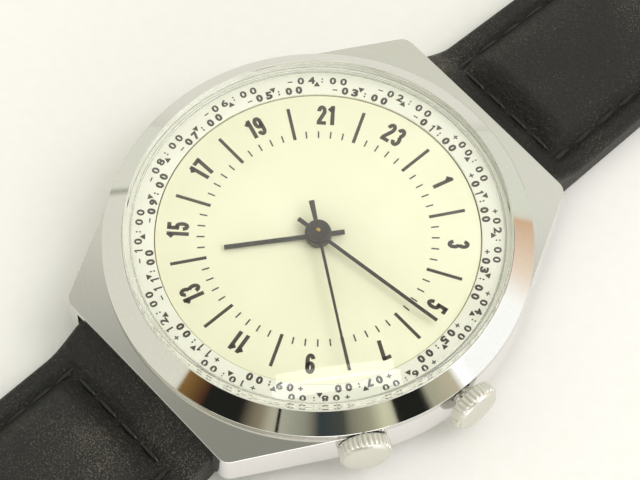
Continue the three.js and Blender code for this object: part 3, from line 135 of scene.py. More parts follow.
# %% [markdown]
# Every material is a small tree of nodes. One function adds a node, sets it and links it.
# Colours are written as the hex values that one reads off a screen and turned to linear
# light here. Patterns are laid out in millimetres of the piece itself. Paper, ink, rubber
# and plain lacquer need no more than a tone that drifts a little, so they share a recipe.

# %% Material helpers
def add_node(tree, kind, inputs=None, **settings):
    made = tree.nodes.new(kind)
    for key, value in settings.items():
        setattr(made, key, value)
    for key, value in (inputs or {}).items():
        if isinstance(value, bpy.types.NodeSocket):
            tree.links.new(value, made.inputs[key])
        else:
            made.inputs[key].default_value = value
    return made


def linear(hex_colour):
    parts = [int(hex_colour[i:i + 2], 16) / 255 for i in (1, 3, 5)]
    return [p / 12.92 if p <= 0.04045 else ((p + 0.055) / 1.055) ** 2.4 for p in parts] + [1]


def start_material(name):
    material = bpy.data.materials.new(name)
    material.use_nodes = True
    tree = material.node_tree
    tree.nodes.clear()
    place = add_node(tree, "ShaderNodeTexCoord")
    in_mm = add_node(tree, "ShaderNodeMapping", {
        "Vector": place.outputs["Object"], "Scale": (1 / MM, 1 / MM, 1 / MM)})
    return material, tree, in_mm.outputs[0]


def drifting_tone(name, scale, detail, dark, light, roughness, specular=0.5):
    """A finish of one roughness, whose tone drifts between two colours."""
    material, tree, at = start_material(name)
    drift = add_node(tree, "ShaderNodeTexNoise", {"Vector": at, "Scale": scale, "Detail": detail})
    tone = add_node(tree, "ShaderNodeMix", {
        0: drift.outputs["Fac"], 6: linear(dark), 7: linear(light)}, data_type="RGBA")
    finish = add_node(tree, "ShaderNodeBsdfPrincipled", {
        "Base Color": tone.outputs[2], "Roughness": roughness, "Specular IOR Level": specular})
    add_node(tree, "ShaderNodeOutputMaterial", {"Surface": finish.outputs[0]})
    return material


# %% [markdown]
# The camera looks down at the watch from above its lower right side, from about 31 cm, with
# a long lens. Its place was found from the hour marks, whose real places are known.

# %% Camera
AZIMUTH, ELEVATION, ROLL = radians(47.445), radians(62.235), radians(0.806)
UNIT = 13.5 * MM  # from the dial's axis to the outer end of the hour marks
DIAL_TOP = 6.8
AIM, DISTANCE = (0.012, 0.006), 23.012  # both in units; aim is on the dial
SENSOR, FOCAL = 36, 194.07

back = Vector((sin(AZIMUTH) * cos(ELEVATION), -cos(AZIMUTH) * cos(ELEVATION), sin(ELEVATION)))
level = Vector((cos(AZIMUTH), sin(AZIMUTH), 0))
rise = back.cross(level)
right = cos(ROLL) * level + sin(ROLL) * rise
up = cos(ROLL) * rise - sin(ROLL) * level
target = Vector((AIM[0] * UNIT, AIM[1] * UNIT, DIAL_TOP * MM))

lens = bpy.data.cameras.new("camera")
lens.sensor_width, lens.lens, lens.clip_start = SENSOR, FOCAL, 0.01
camera = bpy.data.objects.new("camera", lens)
bpy.context.scene.collection.objects.link(camera)
camera.matrix_world = Matrix.Translation(target + back * DISTANCE * UNIT) @ Matrix(
    (right, up, back)).transposed().to_4x4()
bpy.context.scene.camera = camera
bpy.context.scene.view_settings.view_transform = "Standard"
print("camera is", round((camera.location - target).length / MM), "mm from the dial")

# %% [markdown]
# The table is a pale sheet. It is a stage piece, so it isn't part of the watch, and it keeps
# the soft shadow. A faint grain stops it from looking like nothing at all.

# %% Table
paper = drifting_tone("pale_paper_table", 0.8, 4, "#F6F6F2", "#FBFBF8", 0.9, specular=0.2)
TABLE_HALF = 1.5  # metres

bm = bmesh.new()
bmesh.ops.create_grid(bm, x_segments=1, y_segments=1, size=TABLE_HALF)
table_mesh = bpy.data.meshes.new("table")
bm.to_mesh(table_mesh)
bm.free()
table_mesh.materials.append(paper)
table = bpy.data.objects.new("table", table_mesh)
bpy.context.scene.collection.objects.link(table)
table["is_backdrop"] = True

# %% [markdown]
# Polished steel has no look of its own: it shows the room. So the world is a plain studio,
# with an even white level all round, and on the camera's side a few things that every
# room has: a dark window frame on each side, a warm wooden door and a grey wall between
# them. They lie in a band some way up the walls. Two narrow gaps between wall panels are
# drawn as lines of their own, because a ramp of colours is too coarse for them. A grey beam
# crosses the ceiling, and the near side of the case mirrors it. The camera itself sees only
# white.

# %% World
ROOM = 1.37  # brightness of a white wall
THINGS = [  # where each starts, in degrees to the right of the camera, and its colour
    (-180, "#D8D8CE"), (-62, "#DAD8CC"), (-61, "#86663A"), (-50.5, "#452C20"),
    (-49.5, "#20201D"), (-34, "#20201D"), (-28, "#78705E"), (-24.8, "#867E6A"),
    (-20.5, "#AEAA98"), (-17, "#AAAA9A"), (-4.7, "#8C8C7E"), (-1.2, "#6E6C60"),
    (1.8, "#343C40"), (12.6, "#484A44"), (16.5, "#807E6E"), (24.8, "#9C9A84"),
    (31, "#CACAAE"), (34.8, "#C4C2AC"), (36.6, "#20201D"), (49, "#20201D"),
    (52, "#A2A08C"), (63.5, "#BCB49C"), (65.5, "#FFFFFF"), (99, "#FFFFFF"),
    (109, "#EAD8C6"), (124.5, "#D0AE90"), (125.3, "#D8DACE"), (180, "#D8D8CE")]
GAPS = [  # where, half its width and half its core, all in degrees, and its colour
    (-130.5, 1.4, 0, "#A4A496"), (-17.0, 1.1, 0.35, "#14110E")]

world = bpy.data.worlds.new("studio")
bpy.context.scene.world = world
world.use_nodes = True
tree = world.node_tree
tree.nodes.clear()
facing = add_node(tree, "ShaderNodeTexCoord")
turned_room = add_node(tree, "ShaderNodeMapping", {
    "Vector": facing.outputs["Generated"], "Rotation": (0, 0, pi / 2 - AZIMUTH)})
axes = add_node(tree, "ShaderNodeSeparateXYZ", {0: turned_room.outputs[0]})
forward, rightward, height = axes.outputs
bearing = add_node(tree, "ShaderNodeMath", {0: rightward, 1: forward}, operation="ARCTAN2")
share = add_node(tree, "ShaderNodeMapRange", {
    "Value": bearing.outputs[0], "From Min": -pi, "From Max": pi})
walls = add_node(tree, "ShaderNodeValToRGB", {"Fac": share.outputs[0]})
ramp = walls.color_ramp.elements
for i, (where, colour) in enumerate(THINGS):
    stop = ramp[i] if i < 2 else ramp.new(1)
    stop.position = (where + 180) / 360
    stop.color = linear(colour)
wall_tone = walls.outputs[0]
for where, half, core, tone in GAPS:
    past = add_node(tree, "ShaderNodeMath", {0: bearing.outputs[0], 1: -radians(where)})
    off = add_node(tree, "ShaderNodeMath", {0: past.outputs[0]}, operation="ABSOLUTE")
    gap = add_node(tree, "ShaderNodeMapRange", {
        "Value": off.outputs[0], "From Min": radians(half), "From Max": radians(core)})
    wall_tone = add_node(tree, "ShaderNodeMix", {
        0: gap.outputs[0], 6: wall_tone, 7: linear(tone)}, data_type="RGBA").outputs[2]
print("things in the room:", len(THINGS), "and gaps:", len(GAPS))

# %% [markdown]
# Heights in the room are sines of the angle over the horizon, and forward is the share that a
# direction has towards the camera. The band's low edge rises towards the camera, where the
# table hides the foot of the walls. Outside the band the walls are plain, a little greyer on
# the left, and overhead they turn into the ceiling with its beam.

# %% Band, walls and ceiling
LOW_FORWARD, LOW_EDGE, LOW_SOFT = (0.05, 0.4), (-0.06, 0.52), 0.03
HIGH_EDGE, CEILING = (0.88, 0.82), (0.76, 0.90)
LEFT_TO_RIGHT, BEAM_BEHIND, BEAM_HALF = (-0.7, 0.5), 0.25, (0.08, 0.29)

low_edge = add_node(tree, "ShaderNodeMapRange", {
    "Value": forward, "From Min": LOW_FORWARD[0], "From Max": LOW_FORWARD[1],
    "To Min": LOW_EDGE[0], "To Max": LOW_EDGE[1]})
above_low = add_node(tree, "ShaderNodeMath", {0: height, 1: low_edge.outputs[0]},
                     operation="SUBTRACT")
low_side = add_node(tree, "ShaderNodeMapRange", {
    "Value": above_low.outputs[0], "From Max": LOW_SOFT})
high_side = add_node(tree, "ShaderNodeMapRange", {
    "Value": height, "From Min": HIGH_EDGE[0], "From Max": HIGH_EDGE[1]})
band = add_node(tree, "ShaderNodeMath", {0: low_side.outputs[0], 1: high_side.outputs[0]},
                operation="MULTIPLY")
rightness = add_node(tree, "ShaderNodeMapRange", {
    "Value": rightward, "From Min": LEFT_TO_RIGHT[0], "From Max": LEFT_TO_RIGHT[1]},
    interpolation_type="SMOOTHSTEP")
plain_wall = add_node(tree, "ShaderNodeMix", {
    0: rightness.outputs[0], 6: linear("#D9D6C8"), 7: linear("#FFFFFF")}, data_type="RGBA")
overhead = add_node(tree, "ShaderNodeMapRange", {
    "Value": height, "From Min": CEILING[0], "From Max": CEILING[1]},
    interpolation_type="SMOOTHSTEP")
beam_off = add_node(tree, "ShaderNodeMath", {0: forward, 1: BEAM_BEHIND})
beam_far = add_node(tree, "ShaderNodeMath", {0: beam_off.outputs[0]}, operation="ABSOLUTE")
beam = add_node(tree, "ShaderNodeMapRange", {
    "Value": beam_far.outputs[0], "From Min": BEAM_HALF[0], "From Max": BEAM_HALF[1]})
beamed = add_node(tree, "ShaderNodeMix", {
    0: beam.outputs[0], 6: linear("#8A8B84"), 7: plain_wall.outputs[2]}, data_type="RGBA")
plain = add_node(tree, "ShaderNodeMix", {
    0: overhead.outputs[0], 6: plain_wall.outputs[2], 7: beamed.outputs[2]}, data_type="RGBA")
room = add_node(tree, "ShaderNodeMix", {
    0: band.outputs[0], 6: plain.outputs[2], 7: wall_tone}, data_type="RGBA")
lit = add_node(tree, "ShaderNodeBackground", {"Color": room.outputs[2], "Strength": ROOM})
seen = add_node(tree, "ShaderNodeBackground", {"Color": (1, 1, 1, 1), "Strength": 1.0})
path = add_node(tree, "ShaderNodeLightPath")
backdrop = add_node(tree, "ShaderNodeMixShader", {
    0: path.outputs["Is Camera Ray"], 1: lit.outputs[0], 2: seen.outputs[0]})
add_node(tree, "ShaderNodeOutputWorld", {"Surface": backdrop.outputs[0]})

# %% [markdown]
# Three soft lamps complete the level. One hangs nearly overhead, a little beyond the watch,
# where the domed crystal throws its image to the near rim. The second is a high window on the
# right, which lights the dial and the table. The third fills the near side from low down.

# %% Lamps
def soft_lamp(name, bearing_degrees, height_degrees, distance, wide, deep, radiance, tilt=0,
              colour=(1, 1, 1)):
    lamp = bpy.data.lights.new(name, "AREA")
    lamp.shape, lamp.color = "RECTANGLE", colour
    lamp.size, lamp.size_y = wide * MM, deep * MM
    lamp.energy = radiance * pi * wide * deep * MM ** 2
    hung = bpy.data.objects.new(name, lamp)
    bpy.context.scene.collection.objects.link(hung)
    turn, high = AZIMUTH - pi / 2 + radians(bearing_degrees), radians(height_degrees)
    out = Vector((cos(turn) * cos(high), sin(turn) * cos(high), sin(high)))
    hung.matrix_world = Matrix.Translation(target + out * distance * MM) @ out.to_track_quat(
        "Z", "Y").to_matrix().to_4x4() @ Matrix.Rotation(radians(tilt), 4, "Z")
    print(name, "watts:", round(lamp.energy, 3))


soft_lamp("overhead_softbox", 166, 81.05, 700, 170, 20, 4, tilt=23.5)
soft_lamp("window_right", 85, 52, 500, 300, 300, 1.9, colour=(1, 0.97, 1))
soft_lamp("front_fill", 5, 16, 500, 420, 120, 1.7, colour=(1, 0.94, 1))

# %% [markdown]
# The case is stainless steel. Its upper faces are brushed in circles round the dial, which
# gives fine bright and dark rings that widen the highlights, and its flanks are polished.
# Which of the two a point gets depends on how far the surface faces up, as it does under
# a brushing wheel. The same mask paints the flanks much paler than the top, a painted
# reflection of the bright table that they face. The lines are about 0.07 mm apart, wider
# than real ones, so that they show.

# %% Brushed stainless steel
LINES_PER_MM, LINES_PER_RADIAN = 14, 1.6
brushed_steel, tree, at = start_material("brushed_stainless_steel")
parts = add_node(tree, "ShaderNodeSeparateXYZ", {0: at})
flat = add_node(tree, "ShaderNodeCombineXYZ", {0: parts.outputs[0], 1: parts.outputs[1]})
radius = add_node(tree, "ShaderNodeVectorMath", {0: flat.outputs[0]}, operation="LENGTH")
angle = add_node(tree, "ShaderNodeMath", {0: parts.outputs[1], 1: parts.outputs[0]},
                 operation="ARCTAN2")
lines_at = add_node(tree, "ShaderNodeCombineXYZ", {0: radius.outputs["Value"], 1: angle.outputs[0]})
stretched = add_node(tree, "ShaderNodeMapping", {
    "Vector": lines_at.outputs[0], "Scale": (LINES_PER_MM, LINES_PER_RADIAN, 1)})
lines = add_node(tree, "ShaderNodeTexNoise", {
    "Vector": stretched.outputs[0], "Scale": 1, "Detail": 5, "Roughness": 0.7})
facing_up = add_node(tree, "ShaderNodeTexCoord")
normal = add_node(tree, "ShaderNodeSeparateXYZ", {0: facing_up.outputs["Normal"]})
upward = add_node(tree, "ShaderNodeMath", {0: normal.outputs[2]}, operation="ABSOLUTE")
brushed_top_vs_painted_flank = add_node(tree, "ShaderNodeMapRange", {
    "Value": upward.outputs[0], "From Min": 0.6, "From Max": 0.8})
rough = add_node(tree, "ShaderNodeMapRange", {
    "Value": lines.outputs["Fac"], "From Min": 0.3, "From Max": 0.7,
    "To Min": 0.10, "To Max": 0.12})
roughness = add_node(tree, "ShaderNodeMix", {
    0: brushed_top_vs_painted_flank.outputs[0], 2: 0.12, 3: rough.outputs[0]}, data_type="FLOAT")
grey = add_node(tree, "ShaderNodeMapRange", {
    "Value": lines.outputs["Fac"], "From Min": 0.3, "From Max": 0.7})
line_tone = add_node(tree, "ShaderNodeMix", {
    0: grey.outputs[0], 6: linear("#D0CFC8"), 7: linear("#D5D4CD")}, data_type="RGBA")
# painted reflection: the flanks get a much paler colour than the brushed top, for the bright table
# that they mirror
colour = add_node(tree, "ShaderNodeMix", {
    0: brushed_top_vs_painted_flank.outputs[0], 6: linear("#F0EEEE"), 7: line_tone.outputs[2]}, data_type="RGBA")
depth = add_node(tree, "ShaderNodeMath", {0: lines.outputs["Fac"], 1: brushed_top_vs_painted_flank.outputs[0]},
                 operation="MULTIPLY")
bump = add_node(tree, "ShaderNodeBump", {
    "Height": depth.outputs[0], "Strength": 0.06, "Distance": 0.006 * MM})
steel = add_node(tree, "ShaderNodeBsdfPrincipled", {
    "Base Color": colour.outputs[2], "Metallic": 1.0, "Roughness": roughness.outputs[0],
    "Normal": bump.outputs[0]})
add_node(tree, "ShaderNodeOutputMaterial", {"Surface": steel.outputs[0]})

# %% [markdown]
# The bezel and the buckle are the same steel, buffed to a mirror. Wear leaves faint hairlines
# in it, which only show as a slight change of sharpness in what it mirrors.

# %% Polished stainless steel
polished_steel, tree, at = start_material("polished_stainless_steel")
hairlines = add_node(tree, "ShaderNodeTexNoise", {
    "Vector": at, "Scale": 3.0, "Detail": 6, "Roughness": 0.65, "Distortion": 0.6})
rough = add_node(tree, "ShaderNodeMapRange", {
    "Value": hairlines.outputs["Fac"], "From Min": 0.35, "From Max": 0.7,
    "To Min": 0.02, "To Max": 0.06})
tone = add_node(tree, "ShaderNodeMix", {
    0: hairlines.outputs["Fac"], 6: linear("#D4D4CF"), 7: linear("#DFDFDA")}, data_type="RGBA")
steel = add_node(tree, "ShaderNodeBsdfPrincipled", {
    "Base Color": tone.outputs[2], "Metallic": 1.0, "Roughness": rough.outputs[0]})
add_node(tree, "ShaderNodeOutputMaterial", {"Surface": steel.outputs[0]})

# %% [markdown]
# The case middle is milled from one block. Seen from above it is round, with square hooded
# ends over the strap. The outline is drawn once as a loop of arcs, extruded down for the
# flanks and joined to the bore under the bezel. The cone of its top is made by moving the
# loop's corners in height, so the hoods slope away from the dial as on the real case.

# %% Case outline
CASE_R, END_REACH, END_HALF, CORNER = 19.45, 20.65, 10.7, 1.3
BEZEL_R, CASE_TOP, CASE_SLOPE = 19.5, 6.1, 0.06
FLANK_LOW, CASE_FOOT, FOOT_R, RING_R = 2.4, 1.4, 17.9, 17.3


def case_outline():
    turn = atan2(END_REACH, END_HALF) - acos(CASE_R / hypot(END_REACH, END_HALF))
    cy = END_REACH - CORNER
    cx = (CASE_R - CORNER - cy * sin(turn)) / cos(turn)
    points = []
    for centre_x, centre_y, r, start, end, steps in (
            (0, 0, CASE_R, -turn, turn, 48), (cx, cy, CORNER, turn, pi / 2, 10),
            (-cx, cy, CORNER, pi / 2, pi - turn, 10), (0, 0, CASE_R, pi - turn, pi + turn, 48),
            (-cx, -cy, CORNER, pi + turn, 1.5 * pi, 10),
            (cx, -cy, CORNER, 1.5 * pi, 2 * pi - turn, 10)):
        for i in range(steps + 1):
            a = start + (end - start) * i / steps
            points.append((centre_x + r * cos(a), centre_y + r * sin(a)))
    return points


def fill_gaps(points, widest):
    """Adds points on the straight runs, so that the round bore gets enough corners too."""
    filled = []
    for (x0, y0), (x1, y1) in zip(points, points[1:] + points[:1]):
        pieces = max(1, round(hypot(x1 - x0, y1 - y0) / widest))
        filled += [(x0 + (x1 - x0) * i / pieces, y0 + (y1 - y0) * i / pieces)
                   for i in range(pieces)]
    return filled


outline = fill_gaps(case_outline(), 0.6)
print("case outline points:", len(outline))

# %% Case blank
BACK_SEAT_R, BACK_SEAT, BORE_R, DIAL_SEAT = 16.7, 2.2, 14.76, 6.6
RING_WALL_R, BEZEL_SEAT_R, BEZEL_SEAT = 17.38, 17.78, 7.0


def only(kind, made):
    return [g for g in made if isinstance(g, kind)]


def extruded(bm, edges, place):
    """Extrudes a loop of edges and puts each new corner where place says."""
    made = bmesh.ops.extrude_edge_only(bm, edges=edges)["geom"]
    for vert in only(bmesh.types.BMVert, made):
        vert.co = place(vert.co)
    return only(bmesh.types.BMEdge, made)


def to_radius(r, z):
    def place(co):
        flat = Vector((co.x, co.y)).normalized() * r
        return Vector((flat.x, flat.y, z))
    return place


bm = bmesh.new()
rim = [bm.verts.new((x, y, CASE_TOP - (hypot(x, y) - BEZEL_R) * CASE_SLOPE)) for x, y in outline]
loop = [bm.edges.new((a, b)) for a, b in zip(rim, rim[1:] + rim[:1])]
flank = extruded(bm, loop, lambda co: Vector((co.x, co.y, FLANK_LOW)))
for r, z in ((FOOT_R, FLANK_LOW), (FOOT_R, CASE_FOOT + 0.4), (FOOT_R - 0.4, CASE_FOOT),
             (BACK_SEAT_R, CASE_FOOT), (BACK_SEAT_R, BACK_SEAT), (BORE_R, BACK_SEAT),
             (BORE_R, DIAL_SEAT), (RING_WALL_R, DIAL_SEAT), (RING_WALL_R, BEZEL_SEAT),
             (BEZEL_SEAT_R, BEZEL_SEAT), (BEZEL_SEAT_R, CASE_TOP - 0.1),
             (19.3, CASE_TOP - 0.1), (19.36, CASE_TOP)):
    flank = extruded(bm, flank, to_radius(r, z))
bmesh.ops.bridge_loops(bm, edges=flank + loop)
bmesh.ops.remove_doubles(bm, verts=bm.verts, dist=MEET)
bmesh.ops.recalc_face_normals(bm, faces=bm.faces)
print("case blank closed:", all(e.is_manifold for e in bm.edges))

# %% [markdown]
# The blank's long edges are broken while it is still clean. Then the strap notches, the
# holes of the spring bars and the bores of the two tubes are milled out with a boolean,
# because they cross the curved flank at odd places where no simple operator would go.

# %% Carve with other shapes
def temporary(bm):
    mesh = bpy.data.meshes.new("temporary")
    bm.to_mesh(mesh)
    bm.free()
    made = bpy.data.objects.new("temporary", mesh)
    bpy.context.scene.collection.objects.link(made)
    return made


def carve(bm, cutters):
    blank = temporary(bm)
    tools = [temporary(cutter) for cutter in cutters]
    for tool in tools:
        step = blank.modifiers.new("carve", "BOOLEAN")
        step.object, step.operation, step.solver = tool, "DIFFERENCE", "EXACT"
    done = blank.evaluated_get(bpy.context.evaluated_depsgraph_get())
    left = bmesh.new()
    left.from_mesh(done.data)
    for used in [blank, *tools]:
        mesh = used.data
        bpy.data.objects.remove(used)
        bpy.data.meshes.remove(mesh)
    return left


def box_shape(x0, x1, y0, y1, z0, z1):
    bm = bmesh.new()
    bmesh.ops.create_cube(bm, size=1, matrix=Matrix.Translation(
        ((x0 + x1) / 2, (y0 + y1) / 2, (z0 + z1) / 2)) @ Matrix.Diagonal(
        (x1 - x0, y1 - y0, z1 - z0, 1)))
    return bm


def rod_shape(radius, x0, x1, place):
    """A rod along +X from x0 to x1, then put at a place."""
    bm = bmesh.new()
    bmesh.ops.create_cone(bm, cap_ends=True, segments=48, radius1=radius, radius2=radius,
                          depth=x1 - x0, matrix=place @ Matrix.Translation(
                              ((x0 + x1) / 2, 0, 0)) @ ALONG_X)
    return bm


# %% Case middle
BAR_Y, BAR_Z, STEM_Z = 18.9, 3.2, 4.5
NOTCH_HALF, NOTCH_IN, NOTCH_TOP = 9.2, 16.75, 5.35
BEYOND = 23  # past the case's ends
BAR_HOLE_R, BAR_HOLE_REACH = 0.45, 10.25
ZONE_TURN = Matrix.Rotation(radians(-30), 4, "Z")
TUBE_R, TUBE_PLAY = 1.0, 0.02

break_edges(bm, 0.12, segments=3, sharper=radians(40),
            chosen=lambda e: all(hypot(v.co.x, v.co.y) > 17.7 for v in e.verts))
cutters = []
for side in (1, -1):
    near, far = sorted((side * NOTCH_IN, side * BEYOND))
    cutters.append(box_shape(-NOTCH_HALF, NOTCH_HALF, near, far, -1, NOTCH_TOP))
    cutters.append(rod_shape(BAR_HOLE_R, -BAR_HOLE_REACH, BAR_HOLE_REACH,
                             Matrix.Translation((0, side * BAR_Y, BAR_Z))))
for place, inner in ((Matrix(), 13.5), (ZONE_TURN, 16.5)):
    cutters.append(rod_shape(TUBE_R + TUBE_PLAY, inner, 30,
                             place @ Matrix.Translation((0, 0, STEM_Z))))
finish_piece("case_middle_milled", carve(bm, cutters), brushed_steel, "case",
             ["case_middle"], CRISP)

# %% [markdown]
# The bezel is a plain cone between two narrow upright walls, and the inner one holds the
# crystal. Its only ornament is its polish, so all that matters is that it is round and that
# its edges are crisp with a hair of rounding.

# %% Bezel
BEZEL_IN, LIP_R, LIP_TOP = 17.8, 17.62, 8.02
BEZEL_LOW, CONE_LOW, LIP_LOW = 6.12, 6.72, 7.05
ROUND_STEPS = 384  # steps of a turn where an outline is seen large
finish_piece("bezel_polished", turned(
    [(BEZEL_IN, BEZEL_LOW), (BEZEL_R, BEZEL_LOW), (BEZEL_R, CONE_LOW), (LIP_R, LIP_TOP),
     (LIP_R, LIP_LOW), (BEZEL_IN, LIP_LOW)],
    edge=0.05, segments=3, steps=ROUND_STEPS), polished_steel, "case",
    ["bezel"], CRISP)

# %% [markdown]
# The crystal is a thick moulded dome of acrylic, the kind that old sports watches have. It
# bends the light much like glass, so the print near the rim shows twice: once through the
# dome and once through the upright wall. That comes from its real thickness and IOR of
# 1.49. Lamps are let through with a transparent shader, because light that bends through a
# dome would otherwise leave the dial dark and grainy.

# %% Acrylic crystal
acrylic, tree, at = start_material("polished_acrylic")
swirl = add_node(tree, "ShaderNodeTexNoise", {"Vector": at, "Scale": 0.35, "Detail": 2})
clarity = add_node(tree, "ShaderNodeMapRange", {
    "Value": swirl.outputs["Fac"], "From Min": 0.4, "From Max": 0.8,
    "To Min": 0.0, "To Max": 0.012})
moulded = add_node(tree, "ShaderNodeBsdfPrincipled", {
    "Base Color": linear("#FDFEFC"), "Roughness": clarity.outputs[0], "IOR": 1.49,
    "Transmission Weight": 1.0})
clear = add_node(tree, "ShaderNodeBsdfTransparent", {"Color": linear("#FCFDFB")})
path = add_node(tree, "ShaderNodeLightPath")
dome_look = add_node(tree, "ShaderNodeMixShader", {
    0: path.outputs["Is Shadow Ray"], 1: moulded.outputs[0], 2: clear.outputs[0]})
add_node(tree, "ShaderNodeOutputMaterial", {"Surface": dome_look.outputs[0]})

# %% Crystal
CRYSTAL_R, CRYSTAL_IN, CRYSTAL_FOOT = 17.54, 16.86, 7.03
DOME_EDGE, DOME_CROWN, HOLLOW_EDGE, HOLLOW_CROWN = 8.95, 10.3, 7.85, 9.2
ROUND = 0.3  # radius of the rounding from the dome into the wall


def dome(radius, edge, crown, steps=16):
    """A shallow dome from the axis outwards, its rim rounded into the upright wall."""
    reach = (radius - 0.8 * ROUND) / radius
    shares = [reach * i / steps for i in range(steps)] + [reach - 0.004, reach]
    points = [(radius * s, edge + (crown - edge) * (1 - s * s)) for s in shares]
    start = pi / 2 - atan2(2 * (crown - edge) * reach, radius)
    r, z = points[-1]
    r, z = r - ROUND * cos(start), z - ROUND * sin(start)
    points += [(r + ROUND * cos(start * (1 - i / 6)), z + ROUND * sin(start * (1 - i / 6)))
               for i in range(1, 7)]
    return points + [(points[-1][0], points[-1][1] - 0.05)]


outside = dome(CRYSTAL_R, DOME_EDGE, DOME_CROWN)
inside = dome(CRYSTAL_IN, HOLLOW_EDGE, HOLLOW_CROWN)
print("crystal radii, outside and inside:", round(outside[-1][0], 3), round(inside[-1][0], 3))
profile = outside + [(outside[-1][0], CRYSTAL_FOOT), (inside[-1][0], CRYSTAL_FOOT)] + inside[::-1]
finish_piece("crystal_domed", turned(profile, close=False, steps=ROUND_STEPS), acrylic, "case",
             ["crystal"])

# %% [markdown]
# A crystal of this kind is squeezed onto a thin tension ring, which keeps its foot round. It
# is the pale rim that one sees deep in the edge, and it gives the thick wall something
# bright to mirror. It is an angle of thin metal, sprayed in the colour of the zone ring.

# %% Tension ring
rim_lacquer = drifting_tone("pale_rim_lacquer", 2, 4, "#E4E4D6", "#F4F4EA", 0.4)
finish_piece("crystal_tension_ring", turned(
    [(17.32, 7.005), (17.605, 7.005), (17.605, 7.95), (17.56, 7.95), (17.56, 7.02),
     (17.32, 7.02)], steps=ROUND_STEPS), rim_lacquer, "case")

# %% [markdown]
# The dial is a brass disc sprayed with warm cream lacquer and left satin. Real lacquer is
# never quite even: it is a touch darker where it pooled. That is drawn as a very faint
# cloud a few millimetres wide.

# %% Cream dial lacquer
def sprayed_lacquer(name, cloud_scale, dark, light, grain_scale, smooth_from, smooth_to, deep=0):
    """Satin lacquer: a wide cloud in its tone, and a fine grain in its shine."""
    material, tree, at = start_material(name)
    cloud = add_node(tree, "ShaderNodeTexNoise", {"Vector": at, "Scale": cloud_scale, "Detail": 3})
    tone = add_node(tree, "ShaderNodeMix", {
        0: cloud.outputs["Fac"], 6: linear(dark), 7: linear(light)}, data_type="RGBA")
    grain = add_node(tree, "ShaderNodeTexNoise", {"Vector": at, "Scale": grain_scale, "Detail": 3})
    rough = add_node(tree, "ShaderNodeMapRange", {
        "Value": grain.outputs["Fac"], "To Min": smooth_from, "To Max": smooth_to})
    inputs = {"Base Color": tone.outputs[2], "Roughness": rough.outputs[0]}
    if deep:
        inputs["Normal"] = add_node(tree, "ShaderNodeBump", {
            "Height": grain.outputs["Fac"], "Strength": 0.15, "Distance": deep * MM}).outputs[0]
    lacquer = add_node(tree, "ShaderNodeBsdfPrincipled", inputs)
    add_node(tree, "ShaderNodeOutputMaterial", {"Surface": lacquer.outputs[0]})
    return material


cream_lacquer = sprayed_lacquer("cream_dial_lacquer", 0.22, "#F6F5D6", "#FFFEE4", 12, 0.40, 0.56,
                                deep=0.004)

# %% Dial
DIAL_R, DIAL_LOW, DIAL_HOLE = 14.62, 6.4, 1.05
FOOT_AT, FOOT_WIDE, FOOT_LONG, FOOT_Z = 12.2, 0.35, 1.5, 5.7
bm = turned([(DIAL_HOLE, DIAL_LOW), (DIAL_R, DIAL_LOW), (DIAL_R, DIAL_TOP), (DIAL_HOLE, DIAL_TOP)],
            edge=0.05)
for foot in (150, -115):  # two feet, riveted under the disc
    bmesh.ops.create_cone(bm, cap_ends=True, segments=24, radius1=FOOT_WIDE, radius2=FOOT_WIDE,
                          depth=FOOT_LONG, matrix=Matrix.Translation(
                              (FOOT_AT * cos(radians(foot)), FOOT_AT * sin(radians(foot)), FOOT_Z)))
finish_piece("dial_disc", bm, cream_lacquer, "case", ["dial"])

# %% [markdown]
# The zone ring turns round the dial. It is lacquered like the dial but a little greyer, and
# a row of small teeth under it takes the pinion of the zone crown. One tooth is made from a
# three-sided cone and spun into forty-five copies.

# %% Zone ring
ring_lacquer = sprayed_lacquer("grey_cream_ring_lacquer", 0.3, "#F4F4E6", "#FAFAEE", 10, 0.36,
                               0.50)
RING_IN, RING_LOW, RING_TOP = 14.72, 6.62, 7.0
RING_TEETH, TOOTH_R, TOOTH_LONG, TOOTH_AT, TOOTH_Z = 45, 0.46, 1.1, 15.95, 6.52
bm = turned([(RING_IN, RING_LOW), (RING_R, RING_LOW), (RING_R, RING_TOP), (RING_IN, RING_TOP)],
            edge=0.04, steps=ROUND_STEPS)
tooth = bmesh.ops.create_cone(bm, cap_ends=True, segments=3, radius1=TOOTH_R, radius2=TOOTH_R,
                              depth=TOOTH_LONG)["verts"]
bmesh.ops.transform(bm, verts=tooth, matrix=Matrix.Rotation(
    radians(-30 + 180 / RING_TEETH), 4, "Z") @ Matrix.Translation(
    (TOOTH_AT, 0, TOOTH_Z)) @ Matrix.Diagonal((1, 1.2, 0.62, 1)) @ ALONG_X)
faces = {face for vert in tooth for face in vert.link_faces}
bmesh.ops.spin(bm, geom=list(faces), cent=(0, 0, 0), axis=(0, 0, 1), use_duplicate=True,
               angle=2 * pi * (RING_TEETH - 1) / RING_TEETH, steps=RING_TEETH - 1)
finish_piece("zone_ring_lacquered", bm, ring_lacquer, "zone_ring", ["zone_ring"])

# %% [markdown]
# The print is dark brown-black ink, laid on by a pad and only 0.015 mm thick.
# Here each mark and each figure is a thin solid on the lacquer, so the print is real in every
# view. The large figures are drawn stroke by stroke, like a sign painter would. The small
# ones start as text, are turned into a mesh and scaled, and only then set round the dial.

# %% Ink
ink = drifting_tone("pad_printed_ink", 6, 3, "#3A3128", "#4E443A", 0.55, specular=0.4)

# %% Figures as meshes
INK = 0.015  # height of the print over the lacquer


def raise_faces(bm, faces, z):
    """Makes flat faces into a solid whose top is at a height."""
    for vert in only(bmesh.types.BMVert,
                     bmesh.ops.extrude_face_region(bm, geom=faces)["geom"]):
        vert.co.z = z
    bmesh.ops.recalc_face_normals(bm, faces=bm.faces)


